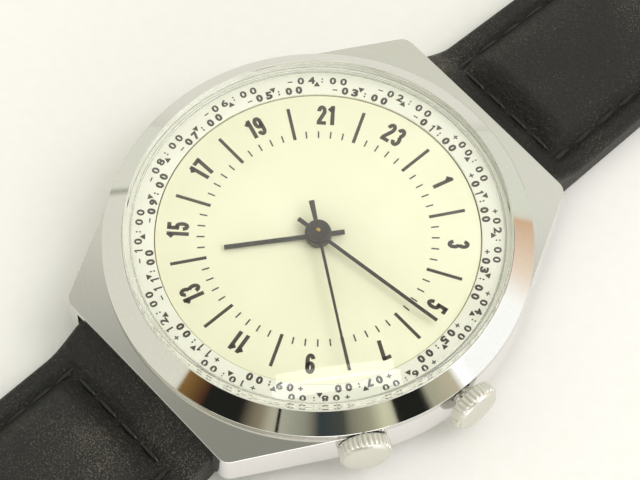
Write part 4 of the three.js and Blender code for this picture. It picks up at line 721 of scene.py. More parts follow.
def ribbon(bm, points, wide):
    """A flat stroke along some points, raised to a solid that is one unit thick."""
    pairs = []
    for i, (x, y) in enumerate(points):
        (x0, y0), (x1, y1) = points[max(i - 1, 0)], points[min(i + 1, len(points) - 1)]
        share = wide / 2 / hypot(x1 - x0, y1 - y0)
        nx, ny = (y0 - y1) * share, (x1 - x0) * share
        pairs.append((bm.verts.new((x + nx, y + ny, 0)), bm.verts.new((x - nx, y - ny, 0))))
    raise_faces(bm, [bm.faces.new((a, b, d, c)) for (a, b), (c, d) in zip(pairs, pairs[1:])], 1)


def glyph_mesh(text, weight):
    """A figure one unit high and one wide, centred, with a thickness of one."""
    curve = bpy.data.curves.new("glyph", "FONT")
    curve.body, curve.offset = text, weight
    curve.resolution_u, curve.extrude = 2, 0.5
    shown = bpy.data.objects.new("glyph", curve)
    bpy.context.scene.collection.objects.link(shown)
    done = shown.evaluated_get(bpy.context.evaluated_depsgraph_get())
    mesh = bpy.data.meshes.new_from_object(done)
    bpy.data.objects.remove(shown)
    bpy.data.curves.remove(curve)
    if text == "1":  # the built-in one is a bare stroke, so this one gets its flag
        mesh.clear_geometry()
        one = bmesh.new()
        ribbon(one, [(0.3, 0), (0.3, 1)], 0.2)
        ribbon(one, [(0.02, 0.74), (0.3, 0.94)], 0.14)
        one.to_mesh(mesh)
        one.free()
    low = Vector([min(v.co[i] for v in mesh.vertices) for i in range(3)])
    high = Vector([max(v.co[i] for v in mesh.vertices) for i in range(3)])
    size = high - low
    mesh.transform(Matrix.Diagonal((1 / size.x, 1 / size.y, 1 / size.z, 1)) @ Matrix.Translation(
        -(low + high) / 2))
    return mesh


def on_dial(clockwise, radius, z, size=(1, 1, 1)):
    """A place at an angle clockwise from +Y, with the top outwards, and a size there."""
    return Matrix.Rotation(radians(-clockwise), 4, "Z") @ Matrix.Translation(
        (0, radius, z)) @ Matrix.Diagonal((*size, 1))


def place_bar(bm, clockwise, inner, outer, width, top):
    bmesh.ops.create_cube(bm, size=1, matrix=on_dial(
        clockwise, (inner + outer) / 2, top, (width, outer - inner, 2 * INK)))


# %% Dial print
MARK_IN, MARK_OUT, TICK_OUT, MARK_WIDE, TICK_WIDE = 10.2, 13.5, 10.9, 0.3, 0.13
NUMERAL_R, NUMERAL_HIGH, STROKE, DIGIT_GAP = 12.6, 2.0, 0.36, 0.15


def arc(x, y, wide, high, start, end, steps=12):
    return [(x + wide * cos(radians(start + (end - start) * i / steps)),
             y + high * sin(radians(start + (end - start) * i / steps))) for i in range(steps + 1)]


DIGITS = {  # width of each figure and its strokes, in a cell two millimetres high
    "1": (0.60, [[(0.42, 0), (0.42, 2)], [(0.08, 1.48), (0.40, 1.80)]]),
    "2": (0.86, [arc(0.43, 1.42, 0.25, 0.40, 185, -38) + [(0.2, 0.32)],
                 [(0.02, 0.18), (0.86, 0.18)]]),
    "3": (0.86, [arc(0.42, 1.45, 0.25, 0.37, 170, -85), arc(0.42, 0.61, 0.26, 0.43, 85, -170)]),
    "5": (0.86, [[(0.80, 1.82), (0.10, 1.82)], [(0.28, 1.9), (0.26, 0.92)],
                 arc(0.42, 0.66, 0.26, 0.48, 140, -170)]),
    "7": (0.84, [[(0.0, 1.82), (0.84, 1.82)], [(0.68, 1.9), (0.30, 0)]]),
    "9": (0.86, [arc(0.43, 1.38, 0.25, 0.44, 0, 360, 20),
                 [(0.68, 1.38)] + arc(0.43, 0.61, 0.25, 0.43, 0, -170)])}

bm = bmesh.new()
for hour in range(0, 24, 2):
    place_bar(bm, hour * 15, MARK_IN, MARK_OUT, MARK_WIDE, DIAL_TOP)
for tick in range(60):
    if tick % 5:
        place_bar(bm, tick * 6, MARK_IN, TICK_OUT, TICK_WIDE, DIAL_TOP)
for hour in range(1, 24, 2):
    first, marks = len(bm.verts), str(hour)
    left = -(sum(DIGITS[mark][0] for mark in marks) + DIGIT_GAP * (len(marks) - 1)) / 2
    for mark in marks:
        for stroke in DIGITS[mark][1]:
            ribbon(bm, [(x + left, y - NUMERAL_HIGH / 2) for x, y in stroke], STROKE)
        left += DIGITS[mark][0] + DIGIT_GAP
    bm.verts.ensure_lookup_table()
    bmesh.ops.transform(bm, verts=bm.verts[first:], matrix=on_dial(
        hour * 15, NUMERAL_R, DIAL_TOP - INK, (1, 1, 2 * INK)))
finish_piece("dial_print", bm, ink, "case")

# %% [markdown]
# Round the ring stand twenty-four offsets from world time, as plain signed numbers in two
# rows, with one small triangle for each between the rows. Each figure is set on its own, a
# fixed step after the last one.

# %% Ring print
ROWS = (16.12, 0.035, 0.74), (15.19, 0.055, 0.80)  # radius, weight, height; outer row first
FIGURE_WIDE, FIGURE_STEP = 0.62, 3.5  # millimetres, and degrees from one to the next
NARROW = {":": 0.25, "1": 0.5}  # share of that width
COLON_HIGH = 0.62  # share of a figure's height
SIGN_HALF, SIGN_LINE = 0.22, 0.055  # half the length and half the width of a sign's line
ARROW_R, ARROW_AT = 0.33, 15.66
FIRST_PLACE = 11.4

glyphs = {(row, mark): glyph_mesh(mark, ROWS[row][1]) for row in (0, 1)
          for mark in "0123456789:"}
bm = bmesh.new()
for place in range(24):
    row = place % 2
    r, _, figure_high = ROWS[row]
    offset = place if place <= 12 else place - 24
    centre = FIRST_PLACE + 15 * place
    text = f"{'+' if offset >= 0 else '-'}{abs(offset):02d}:00"
    for i, mark in enumerate(text):
        turn = centre + (i - (len(text) - 1) / 2) * FIGURE_STEP
        if mark in "+-":
            place_bar(bm, turn, r - SIGN_LINE, r + SIGN_LINE, 2 * SIGN_HALF, RING_TOP)
            if mark == "+":
                for inner, outer in ((r - SIGN_HALF, r - SIGN_LINE),
                                     (r + SIGN_LINE, r + SIGN_HALF)):
                    place_bar(bm, turn, inner, outer, 2 * SIGN_LINE, RING_TOP)
        else:
            size = (FIGURE_WIDE * NARROW.get(mark, 1),
                    figure_high * (COLON_HIGH if mark == ":" else 1), 2 * INK)
            first = len(bm.verts)
            bm.from_mesh(glyphs[row, mark])
            bm.verts.ensure_lookup_table()
            bmesh.ops.transform(bm, verts=bm.verts[first:],
                                matrix=on_dial(turn, r, RING_TOP, size))
    arrow = bmesh.ops.create_cone(bm, cap_ends=True, segments=3, radius1=ARROW_R,
                                  radius2=ARROW_R, depth=2 * INK)["verts"]
    bmesh.ops.transform(bm, verts=arrow, matrix=on_dial(
        centre, ARROW_AT, RING_TOP) @ Matrix.Rotation(pi * row, 4, "Z"))
finish_piece("ring_print", bm, ink, "zone_ring")

# %% [markdown]
# The hands are pressed from thin steel, lacquered black. Each has a slight roof, so that one
# side always takes more light than the other: that is the thin pale line along them in the
# photograph. The lacquer is glossy with a trace of dust and wear.

# %% Black lacquer
black_lacquer, tree, at = start_material("black_hand_lacquer")
wear = add_node(tree, "ShaderNodeTexNoise", {"Vector": at, "Scale": 5, "Detail": 5})
tone = add_node(tree, "ShaderNodeMix", {
    0: wear.outputs["Fac"], 6: linear("#1D1814"), 7: linear("#332B24")}, data_type="RGBA")
rough = add_node(tree, "ShaderNodeMapRange", {
    "Value": wear.outputs["Fac"], "To Min": 0.20, "To Max": 0.42})
lacquer = add_node(tree, "ShaderNodeBsdfPrincipled", {
    "Base Color": tone.outputs[2], "Roughness": rough.outputs[0], "Coat Weight": 0.4,
    "Coat Roughness": 0.12})
add_node(tree, "ShaderNodeOutputMaterial", {"Surface": lacquer.outputs[0]})

# %% Hands
BORE = 0.62  # radius of the hole in a hand's boss
HAND_THICK, ROOF, BOSS_HIGH, BOSS_EDGE = 0.2, 0.07, 0.34, 0.07


def hand(low, tip, tail, widths, boss, pin=None):
    tip_wide, boss_wide, tail_wide = widths
    high, boss_top = low + HAND_THICK, low + BOSS_HIGH
    bm = bmesh.new()
    bmesh.ops.create_cube(bm, size=1)
    for axis in (0, 1):
        long = [e for e in bm.edges if abs(e.verts[0].co[axis] - e.verts[1].co[axis]) > 0.5]
        bmesh.ops.subdivide_edges(bm, edges=long, cuts=1)
    for vert in bm.verts:
        where = (vert.co.y > 0.25) - (vert.co.y < -0.25)
        wide = {1: tip_wide, 0: boss_wide, -1: tail_wide}[where]
        ridge = abs(vert.co.x) < 0.25
        vert.co = Vector((vert.co.x * wide, {1: tip, 0: 0, -1: -tail}[where],
                          (high if ridge else high - ROOF) if vert.co.z > 0 else low))
    rim = [(BORE, low), (boss, low), (boss, boss_top - BOSS_EDGE), (boss - BOSS_EDGE, boss_top),
           (BORE, boss_top)]
    if pin:  # no hole, and a shallow hollow round the pin
        rim = [(0, low)] + rim[1:4] + [(pin + 0.1, boss_top), (pin + 0.1, low + 0.30),
                                       (0, low + 0.30)]
    join(bm, turned(rim, steps=64, close=not pin))
    return bm


HAND_ANGLES = {"hour_hand": 213.4, "minute_hand": 81.4, "second_hand": 120.7}
blades = {
    "hour_hand": hand(7.12, 8.5, 2.4, (0.42, 0.42, 0.45), 1.2),
    "minute_hand": hand(7.5, 13.6, 2.3, (0.30, 0.32, 0.40), 1.2),
    "second_hand": hand(7.88, 13.4, 3.15, (0.20, 0.28, 0.52), 1.1, pin=0.2)}
for name, bm in blades.items():
    finish_piece(name + "_pressed", moved(bm, on_dial(HAND_ANGLES[name], 0, 0)), black_lacquer,
                 name, [name])

# %% [markdown]
# A small brass pin shows in the middle of the second hand. Turned brass is warm and shiny.

# %% Turned brass
def metal(name, dark, light, smooth_from, smooth_to, scale, deep=0.0, stretch=(1, 1, 1)):
    """A metal whose grain changes its tone and its shine at a real size in millimetres."""
    material, tree, at = start_material(name)
    laid = add_node(tree, "ShaderNodeMapping", {"Vector": at, "Scale": stretch})
    grain = add_node(tree, "ShaderNodeTexNoise", {
        "Vector": laid.outputs[0], "Scale": scale, "Detail": 5, "Roughness": 0.6})
    tone = add_node(tree, "ShaderNodeMix", {
        0: grain.outputs["Fac"], 6: linear(dark), 7: linear(light)}, data_type="RGBA")
    rough = add_node(tree, "ShaderNodeMapRange", {
        "Value": grain.outputs["Fac"], "From Min": 0.3, "From Max": 0.7,
        "To Min": smooth_from, "To Max": smooth_to})
    inputs = {"Base Color": tone.outputs[2], "Metallic": 1.0, "Roughness": rough.outputs[0]}
    if deep:
        inputs["Normal"] = add_node(tree, "ShaderNodeBump", {
            "Height": grain.outputs["Fac"], "Strength": 0.4, "Distance": deep * MM}).outputs[0]
    finish = add_node(tree, "ShaderNodeBsdfPrincipled", inputs)
    add_node(tree, "ShaderNodeOutputMaterial", {"Surface": finish.outputs[0]})
    return material


gilt_brass = metal("gilt_wheel_brass", "#C49A4A", "#DDB866", 0.16, 0.34, 4)
finish_piece("second_hand_pin", turned(
    [(0, 8.1), (0.2, 8.1), (0.2, 8.30), (0.14, 8.34), (0, 8.34)], steps=32, close=False),
    gilt_brass, "second_hand")

# %% [markdown]
# A crown is a small knurled knob. The loop of its outline is drawn once with thirty narrow
# grooves. It is extruded along the stem, in at the ends for the chamfers, and out into the
# domed end, where the grooves fade to a circle. The hollow in its back takes the tube. Its
# steel is dulled by handling.

# %% Crowns and tubes
crown_steel = metal("handled_crown_steel", "#D8D7CE", "#E2E1D8", 0.30, 0.40, 2.5)
CROWN_R, GROOVES, GROOVE_DEEP, CROWN_LONG, DOME_RISE = 2.38, 30, 0.16, 1.15, 0.6
GROOVE_STEPS, GROOVE_POWER = 12, 2.5  # corners for each groove, and how narrow it is
STEM_HOLE_R = 0.63


def on_stem(bm, place):
    return moved(bm, place @ Matrix.Translation((0, 0, STEM_Z)) @ ALONG_X)


def crown(start, place):
    bm = bmesh.new()
    bmesh.ops.create_circle(bm, segments=GROOVES * GROOVE_STEPS, radius=1)

    def stop(radius, z, grooved):
        def put(co):
            a = atan2(co.y, co.x)
            r = radius - GROOVE_DEEP * grooved * (0.5 - 0.5 * cos(GROOVES * a)) ** GROOVE_POWER
            return Vector((r * cos(a), r * sin(a), z))
        return put

    end = start + CROWN_LONG
    edges = list(bm.edges)
    stops = [(CROWN_R - 0.16, start, 0.2), (CROWN_R - 0.03, start + 0.10, 0.9),
             (CROWN_R, start + 0.2, 1), (CROWN_R, end - 0.08, 1), (CROWN_R - 0.03, end - 0.01, 1),
             (CROWN_R - 0.16, end + 0.06, 0.2), (CROWN_R - 0.2, end + 0.16, 0)]
    stops += [(CROWN_R * share, end + DOME_RISE * (1 - 0.62 * share ** 2), 0)
              for share in (0.86, 0.78, 0.66, 0.5, 0.32, 0.14)]
    for vert in bm.verts:
        vert.co = stop(*stops[0])(vert.co)
    back_edges = list(edges)
    for radius, z, grooved in stops[1:]:
        edges = extruded(bm, edges, stop(radius, z, grooved))
    bmesh.ops.contextual_create(bm, geom=edges)
    for radius, z in ((TUBE_R + 0.1, start), (TUBE_R + 0.1, start + 0.65)):
        back_edges = extruded(bm, back_edges, to_radius(radius, z))
    bmesh.ops.contextual_create(bm, geom=back_edges)
    bmesh.ops.recalc_face_normals(bm, faces=bm.faces)
    return on_stem(bm, place)


for name, start, place in (("winding_crown", 19.95, Matrix()), ("zone_crown", 19.55, ZONE_TURN)):
    finish_piece(name + "_knurled", crown(start, place), crown_steel, name,
                 [name])
for name, start, end, place in (("winding_tube", 14.8, 20.3, Matrix()),
                                ("zone_tube", 17.0, 19.9, ZONE_TURN)):
    bm = turned([(STEM_HOLE_R, start), (TUBE_R, start), (TUBE_R, end), (STEM_HOLE_R, end)],
                edge=0.06, steps=48)
    finish_piece(name + "_turned", on_stem(bm, place), brushed_steel, "case",
                 [name])

# %% [markdown]
# The back is out of view in the photograph. Watches of this kind close with a snapped or
# screwed plate, turned with a broad flat and a sloping rim. It gets one fine groove and six
# small notches for the opener, and is brushed in circles like the top of the case.

# %% Case back
bm = turned([(0, 0), (10.9, 0), (11.0, 0.08), (11.25, 0.08), (11.35, 0), (15.2, 0), (15.35, 0.06),
             (16.5, 0.84), (16.6, 0.96), (16.6, 1.38), (16.2, 1.38), (16.2, 1.8), (15.4, 1.8),
             (15.4, 1.0), (0, 1.0)], close=False)
notches = [moved(box_shape(13.5, 15.1, -0.8, 0.8, -0.5, 0.35),
                 Matrix.Rotation(radians(60 * i + 30), 4, "Z")) for i in range(6)]
finish_piece("case_back_turned", carve(bm, notches), brushed_steel, "case",
             ["case_back"])

# %% [markdown]
# Spring bars hold the strap. They are drawn steel tubes with thin sprung tips.

# %% Spring bars
for name, side in (("spring_bar_top", 1), ("spring_bar_bottom", -1)):
    bm = turned([(0, -10.1), (0.36, -10.1), (0.4, -10.05), (0.4, -9.05), (0.72, -9.05),
                 (0.75, -9.0), (0.75, -8.5), (0.62, -8.45), (0.62, -8.2), (0.75, -8.15),
                 (0.75, 9.0), (0.72, 9.05), (0.4, 9.05), (0.4, 10.05), (0.36, 10.1), (0, 10.1)],
                steps=32, close=False)
    moved(bm, Matrix.Translation((0, side * BAR_Y, BAR_Z)) @ ALONG_X)
    finish_piece(name + "_turned", bm, polished_steel, "case", [name])

# %% [markdown]
# The strap is black calf, folded over a soft filler and stitched along the edges. Its
# grain is fine: pores of about 0.3 mm that sparkle where they catch the light, over a faint
# pattern of pebbles of about 0.45 mm. Paler grey-brown specks of about 0.15 mm, in wide
# patches, are partly dust and wear and partly a painted sparkle of the grain. The sides are
# cut, and there the fibres are dull and dark.

# %% Grained calf
calf, tree, at = start_material("black_grained_calf")
pores = add_node(tree, "ShaderNodeTexNoise", {
    "Vector": at, "Scale": 3.4, "Detail": 4, "Roughness": 0.75})
pebbles = add_node(tree, "ShaderNodeTexVoronoi", {
    "Vector": at, "Scale": 2.2, "Smoothness": 0.8}, feature="SMOOTH_F1")
height = add_node(tree, "ShaderNodeMath", {
    0: pebbles.outputs["Distance"], 1: -0.4, 2: pores.outputs["Fac"]}, operation="MULTIPLY_ADD")
speck_patches = add_node(tree, "ShaderNodeTexNoise", {"Vector": at, "Scale": 0.12, "Detail": 3})
dust = add_node(tree, "ShaderNodeTexNoise", {
    "Vector": at, "Scale": 6.5, "Detail": 2, "Roughness": 0.6})
speck_level = add_node(tree, "ShaderNodeMath", {
    0: speck_patches.outputs["Fac"], 1: 0.45, 2: dust.outputs["Fac"]}, operation="MULTIPLY_ADD")
dust_and_sparkle_specks = add_node(tree, "ShaderNodeMapRange", {
    "Value": speck_level.outputs[0], "From Min": 0.80, "From Max": 0.98})
facing_side = add_node(tree, "ShaderNodeTexCoord")
normal = add_node(tree, "ShaderNodeSeparateXYZ", {0: facing_side.outputs["Normal"]})
sideways = add_node(tree, "ShaderNodeMath", {0: normal.outputs[0]}, operation="ABSOLUTE")
cut_edge = add_node(tree, "ShaderNodeMapRange", {
    "Value": sideways.outputs[0], "From Min": 0.75, "From Max": 0.95})
skin = add_node(tree, "ShaderNodeMix", {
    0: pores.outputs["Fac"], 6: linear("#060604"), 7: linear("#16150E")}, data_type="RGBA")
# painted sparkle: the pale specks are partly dust and wear, partly glints of the grain painted into
# the colour
dust_and_sparkle_colour = add_node(tree, "ShaderNodeMix", {
    0: dust_and_sparkle_specks.outputs[0], 6: skin.outputs[2], 7: linear("#625E52")}, data_type="RGBA")
fibres = add_node(tree, "ShaderNodeTexNoise", {"Vector": at, "Scale": 7.0, "Detail": 4})
fibre_tone = add_node(tree, "ShaderNodeMix", {
    0: fibres.outputs["Fac"], 6: linear("#12110D"), 7: linear("#2E2A21")}, data_type="RGBA")
colour = add_node(tree, "ShaderNodeMix", {
    0: cut_edge.outputs[0], 6: dust_and_sparkle_colour.outputs[2], 7: fibre_tone.outputs[2]}, data_type="RGBA")
rough = add_node(tree, "ShaderNodeMapRange", {
    "Value": pores.outputs["Fac"], "From Min": 0.35, "From Max": 0.65,
    "To Min": 0.56, "To Max": 0.28})
bump = add_node(tree, "ShaderNodeBump", {
    "Height": height.outputs[0], "Strength": 1.0, "Distance": 0.22 * MM})
leather = add_node(tree, "ShaderNodeBsdfPrincipled", {
    "Base Color": colour.outputs[2], "Roughness": rough.outputs[0], "Normal": bump.outputs[0],
    "Specular IOR Level": 0.45})
add_node(tree, "ShaderNodeOutputMaterial", {"Surface": leather.outputs[0]})

# %% [markdown]
# Each half of the strap is one loop of points, the section of the band, which is extruded
# from stop to stop along its length. At each stop the loop takes its width, its thickness
# and the height of its padding. So the swelling between the seams, the groove that the
# thread pulls into the leather and the rounded edges are all real shape.

# %% Strap heights
WIDE, NARROW_WIDE, TAPER_LONG = 18, 16, 42
LOOP_R, THICK, FLOOR, PAD = 1.95, 2.25, 0.08, 1.5
SEAM_IN, GROOVE, EDGE_ROUND, SEAM_START = 2.3, 0.32, 0.45, 23.8


def smooth(start, end, value):
    t = min(1, max(0, (value - start) / (end - start)))
    return t * t * (3 - 2 * t)


def half_width(y):
    return (WIDE - (WIDE - NARROW_WIDE) * min(1, max(0, (y - BAR_Y) / TAPER_LONG))) / 2


def underside(y):
    if y < BAR_Y:
        return max(BAR_Z - sqrt(max(0, LOOP_R ** 2 - (y - BAR_Y) ** 2)), FLOOR)
    return max((BAR_Z - LOOP_R) * (1 - smooth(BAR_Y, BAR_Y + 2.6, y)), FLOOR)


def edge_top(y):
    if y < BAR_Y:
        return BAR_Z + sqrt(max(0, LOOP_R ** 2 - (y - BAR_Y) ** 2))
    high = BAR_Z + LOOP_R
    return high + (FLOOR + THICK - high) * smooth(BAR_Y, SEAM_START + 1, y)


def padding(y, fade_from, fade_to):
    return PAD * smooth(SEAM_START - 0.2, SEAM_START + 2.6, y) * (1 - smooth(fade_from, fade_to, y))


def top_height(x, y, half, fade_from, fade_to):
    """Height of the strap's upper face over the table, without any lift."""
    z = edge_top(y)
    inner = max(half - SEAM_IN, 0.1)
    share = min(1, abs(x) / inner)
    z += padding(y, fade_from, fade_to) * (1 - share ** 4.5)
    seam = abs(half - abs(x) - SEAM_IN)
    if y < SEAM_START:
        seam = hypot(seam, SEAM_START - y)
    if abs(x) < inner:
        seam = min(seam, abs(y - SEAM_START))
    return z - GROOVE * max(0, 1 - (seam / 0.7) ** 2) * min(1, half / 6)


# %% Strap section
ACROSS = 56  # points over the top of the section
BELOW = 10


def section(y, half, low, top):
    """The loop of points round the band at one place along it."""
    thick = top(half, y) - low
    r = min(EDGE_ROUND, 0.4 * thick, 0.5 * half)
    rim_low = low + thick - r
    turns = [pi / 2 * i / 5 for i in range(5)]
    rounding = [(half - r * (1 - cos(a)), rim_low + r * sin(a)) for a in turns]
    points = [(-half + r / 2 + (2 * half - r) * i / BELOW, low) for i in range(BELOW + 1)]
    points += [(half, low + r / 2), (half, (low + r / 2 + rim_low) / 2), *rounding]
    for i in range(ACROSS + 1):
        x = (half - r) * (1 - 2 * i / ACROSS)
        points.append((x, top(x, y)))
    points += [(-x, z) for x, z in reversed(rounding)]
    points += [(-half, (low + r / 2 + rim_low) / 2), (-half, low + r / 2)]
    return [(x, y, z) for x, z in points]


def band(sections):
    """Extrudes the first section along all the others and closes both ends."""
    bm = bmesh.new()
    verts = [bm.verts.new(point) for point in sections[0]]
    loop = [bm.edges.new(pair) for pair in zip(verts, verts[1:] + verts[:1])]
    bmesh.ops.contextual_create(bm, geom=loop)
    for points in sections[1:]:
        made = set(bmesh.ops.extrude_edge_only(bm, edges=loop)["geom"])
        loop = [g for g in made if isinstance(g, bmesh.types.BMEdge)]
        verts = [next(e.other_vert(old) for e in old.link_edges if e.other_vert(old) in made)
                 for old in verts]
        for vert, point in zip(verts, points):
            vert.co = point
    bmesh.ops.contextual_create(bm, geom=loop)
    bmesh.ops.recalc_face_normals(bm, faces=bm.faces)
    return bm


# %% [markdown]
# The buckle side rises over the keepers' lower walls and bends round the buckle's bar, with
# a slot for the tongue. The tail side runs to a rounded point, with seven holes. Both are
# padded.

# %% Strap halves
BUCKLE_Y, BUCKLE_Z, BEND_R = 93.9, 1.4, 1.3
TAIL_END, TIP_LONG = 133.9, 9.0
BUCKLE_FADE, TAIL_FADE = (46, 66), (50, 74)  # where the pads thin out
LIFT_UP, LIFT_DOWN = (54, 62), (85.1, 90.9)  # over the keepers and down to the bar


def stops(*runs):
    """Places along the strap: from a start to an end in steps of a given length."""
    places = []
    for start, end, step in runs:
        count = max(1, round((end - start) / step))
        places += [start + (end - start) * i / count for i in range(count)]
    return places + [runs[-1][1]]


def lift(y):
    return smooth(*LIFT_UP, y) * (1 - smooth(*LIFT_DOWN, y))


def buckle_top(x, y):
    z = top_height(x, y, half_width(y), *BUCKLE_FADE) + lift(y)
    bend = BEND_R ** 2 - (y - BUCKLE_Y) ** 2
    if bend <= 0:
        return z
    return max(z if y < BUCKLE_Y else 0, BUCKLE_Z + sqrt(bend))


def buckle_low(y):
    z = underside(y) + lift(y)
    bend = max(0, BEND_R ** 2 - (y - BUCKLE_Y) ** 2)
    return BUCKLE_Z - sqrt(bend) if y >= BUCKLE_Y else z


def tail_half(y):
    """Half width of the tail side, whose tip is a quadratic curve."""
    start, end = TAIL_END - TIP_LONG, TAIL_END
    if y <= start:
        return half_width(y)
    a, b, c = start - 2 * (end - 1.5) + end, 2 * (end - 1.5 - start), start - y
    t = (-b + sqrt(b * b - 4 * a * c)) / (2 * a) if abs(a) > 1e-9 else -c / b
    return max(0.5, (1 - t) ** 2 * 8 + 2 * t * (1 - t) * 7)


def tail_top(x, y):
    return top_height(x, y, tail_half(y), *TAIL_FADE)


FIRST = BAR_Y - 0.985 * LOOP_R
NEAR_CASE = (FIRST, BAR_Y - 1.2, 0.2), (BAR_Y - 1.2, BAR_Y + 8, 0.3)
SLOT_HALF, SLOT_START = 1.2, 90.7
along = stops(*NEAR_CASE, (BAR_Y + 8, 54, 2.0), (54, 91, 1.2), (91, BUCKLE_Y + 0.5, 0.3),
              (BUCKLE_Y + 0.5, BUCKLE_Y + 1.29, 0.12))
bm = band([section(y, half_width(y), buckle_low(y), buckle_top) for y in along])
slot = box_shape(-SLOT_HALF, SLOT_HALF, SLOT_START, 99, -1, 9)
strap_buckle = finish_piece("strap_buckle_side_padded", carve(bm, [slot]), calf, "buckle_strap",
                            ["strap_buckle_side"])

HOLES, HOLE_R, HOLE_STEP, LAST_HOLE = 7, 0.9, 6.5, 24  # the last one is that far from the tip
along = stops(*NEAR_CASE, (BAR_Y + 8, 50, 2.0), (50, TAIL_END - TIP_LONG, 1.5),
              (TAIL_END - TIP_LONG, TAIL_END - 1, 0.5), (TAIL_END - 1, TAIL_END, 0.1))
bm = band([section(y, tail_half(y), underside(y), tail_top) for y in along])
holes = []
for i in range(HOLES):
    holes.append(bmesh.new())
    bmesh.ops.create_cone(holes[i], cap_ends=True, segments=32, radius1=HOLE_R, radius2=HOLE_R,
                          depth=12, matrix=Matrix.Translation(
                              (0, TAIL_END - LAST_HOLE - HOLE_STEP * i, 0)))
bm = moved(carve(bm, holes), Matrix.Rotation(pi, 4, "Z"))
strap_tail = finish_piece("strap_tail_side_padded", bm, calf, "tail_strap",
                          ["strap_tail_side"])

# %% [markdown]
# The seams are lock-stitched with black waxed thread. One stitch is a flattened bead 2.3 mm
# long. It is repeated every 2.9 mm along a path that keeps its distance from the strap's
# edge and crosses it near the case, and it always lies in the groove of the leather.

# %% Waxed thread
thread, tree, at = start_material("waxed_black_thread")
twist = add_node(tree, "ShaderNodeTexWave", {
    "Vector": at, "Scale": 1.1, "Distortion": 1.5, "Detail": 1}, bands_direction="DIAGONAL")
tone = add_node(tree, "ShaderNodeMix", {
    0: twist.outputs["Fac"], 6: linear("#060605"), 7: linear("#171612")}, data_type="RGBA")
bump = add_node(tree, "ShaderNodeBump", {
    "Height": twist.outputs["Fac"], "Strength": 0.6, "Distance": 0.04 * MM})
waxed = add_node(tree, "ShaderNodeBsdfPrincipled", {
    "Base Color": tone.outputs[2], "Roughness": 0.38, "Normal": bump.outputs[0]})
add_node(tree, "ShaderNodeOutputMaterial", {"Surface": waxed.outputs[0]})

# %% Seams
STITCH, STITCH_LONG, STITCH_WIDE, STITCH_HIGH = 2.9, 2.3, 0.62, 0.44
STITCH_LIFT = 0.1  # its middle over the leather


def seam_path(half_at, end, closed_tip):
    """Points of the seam on one side, from the middle of the cross row outwards."""
    points = [(0, SEAM_START), (half_at(SEAM_START) - SEAM_IN, SEAM_START)]
    y = SEAM_START + 0.5
    while y < end:
        points.append((max(half_at(y) - SEAM_IN, 0), y))
        y += 0.5
    if closed_tip:
        points.append((0, end))
    return points


def walk(points, step):
    """Places and directions every step along a path."""
    left, found = step / 2, []
    for (x0, y0), (x1, y1) in zip(points, points[1:]):
        long = hypot(x1 - x0, y1 - y0)
        while left <= long and long > 0:
            t = left / long
            found.append((x0 + (x1 - x0) * t, y0 + (y1 - y0) * t, atan2(y1 - y0, x1 - x0)))
            left += step
        left -= long
    return found


def sew(name, half_at, top_at, end, closed_tip, turn, body):
    bm = bmesh.new()
    for x, y, heading in walk(seam_path(half_at, end, closed_tip), STITCH):
        slope = (top_at(x, y + 0.4) - top_at(x, y - 0.4)) / 0.8
        laid = Matrix.Rotation(-atan2(slope * sin(heading), 1), 4, "Y") @ ALONG_X @ Matrix.Diagonal(
            (STITCH_HIGH / 2, STITCH_WIDE / 2, STITCH_LONG / 2, 1))
        for side in (1, -1):
            along = Matrix.Rotation(heading if side > 0 else pi - heading, 4, "Z")
            bmesh.ops.create_uvsphere(
                bm, u_segments=6, v_segments=5, radius=1,
                matrix=Matrix.Rotation(turn, 4, "Z") @ Matrix.Translation(
                    (side * x, y, top_at(x, y) + STITCH_LIFT)) @ along @ laid)
    finish_piece(name, bm, thread, body)


sew("seam_buckle_side", half_width, buckle_top, 84.5, False, 0, "buckle_strap")
sew("seam_tail_side", tail_half, tail_top, TAIL_END - 2.6, True, pi, "tail_strap")

# %% [markdown]
# Two keepers hold the tail when the watch is worn: flat loops of the same leather, rounded at
# the corners. A block is milled to a loop with a second, smaller block.

# %% Keepers
KEEPER_HALF, KEEPER_LONG, KEEPER_LOW, KEEPER_TOP, KEEPER_THICK = 8.95, 4.5, 0.13, 6.98, 0.9


def keeper(start):
    half, end = KEEPER_HALF - KEEPER_THICK, start + KEEPER_LONG
    outer = box_shape(-KEEPER_HALF, KEEPER_HALF, start, end, KEEPER_LOW, KEEPER_TOP)
    inner = box_shape(-half, half, start - 1, end + 1, KEEPER_LOW + KEEPER_THICK,
                      KEEPER_TOP - KEEPER_THICK)
    for shape, radius in ((outer, 1.2), (inner, 0.55)):
        lengthwise = [e for e in shape.edges if abs(e.verts[0].co.y - e.verts[1].co.y) > 1]
        bmesh.ops.bevel(shape, geom=lengthwise, offset=radius, affect="EDGES", segments=6,
                        profile=0.5, material=-1)
    bm = carve(outer, [inner])
    break_edges(bm, 0.16, segments=3, sharper=radians(60))
    return bm


finish_piece("free_keeper_leather", keeper(70), calf, "free_keeper",
             ["free_keeper"])
finish_piece("fixed_keeper_leather", keeper(80), calf, "buckle_strap",
             ["fixed_keeper"])

# %% [markdown]
# The buckle is bent from steel rod: a rounded frame, a bar through its ends and a tongue that
# hinges on the bar. The frame starts as its flat outline, gets its thickness by extrusion,
# and its wide bevels give it the round look of rod.

# %% Buckle
FRAME_IN, FRAME_OUT, FRAME_NEAR, FRAME_FAR = 8.4, 10.2, 92.5, 103.9
FRAME_LOW, FRAME_HIGH, FRAME_CORNER, FRAME_WIDE = 0.5, 2.3, 1.6, 1.8
TINY = 1e-3


def solid_from_outline(points, low, high):
    bm = bmesh.new()
    raise_faces(bm, [bm.faces.new([bm.verts.new((x, y, low)) for x, y in points])], high)
    return bm


def everything(bm):
    return [*bm.verts, *bm.edges, *bm.faces]


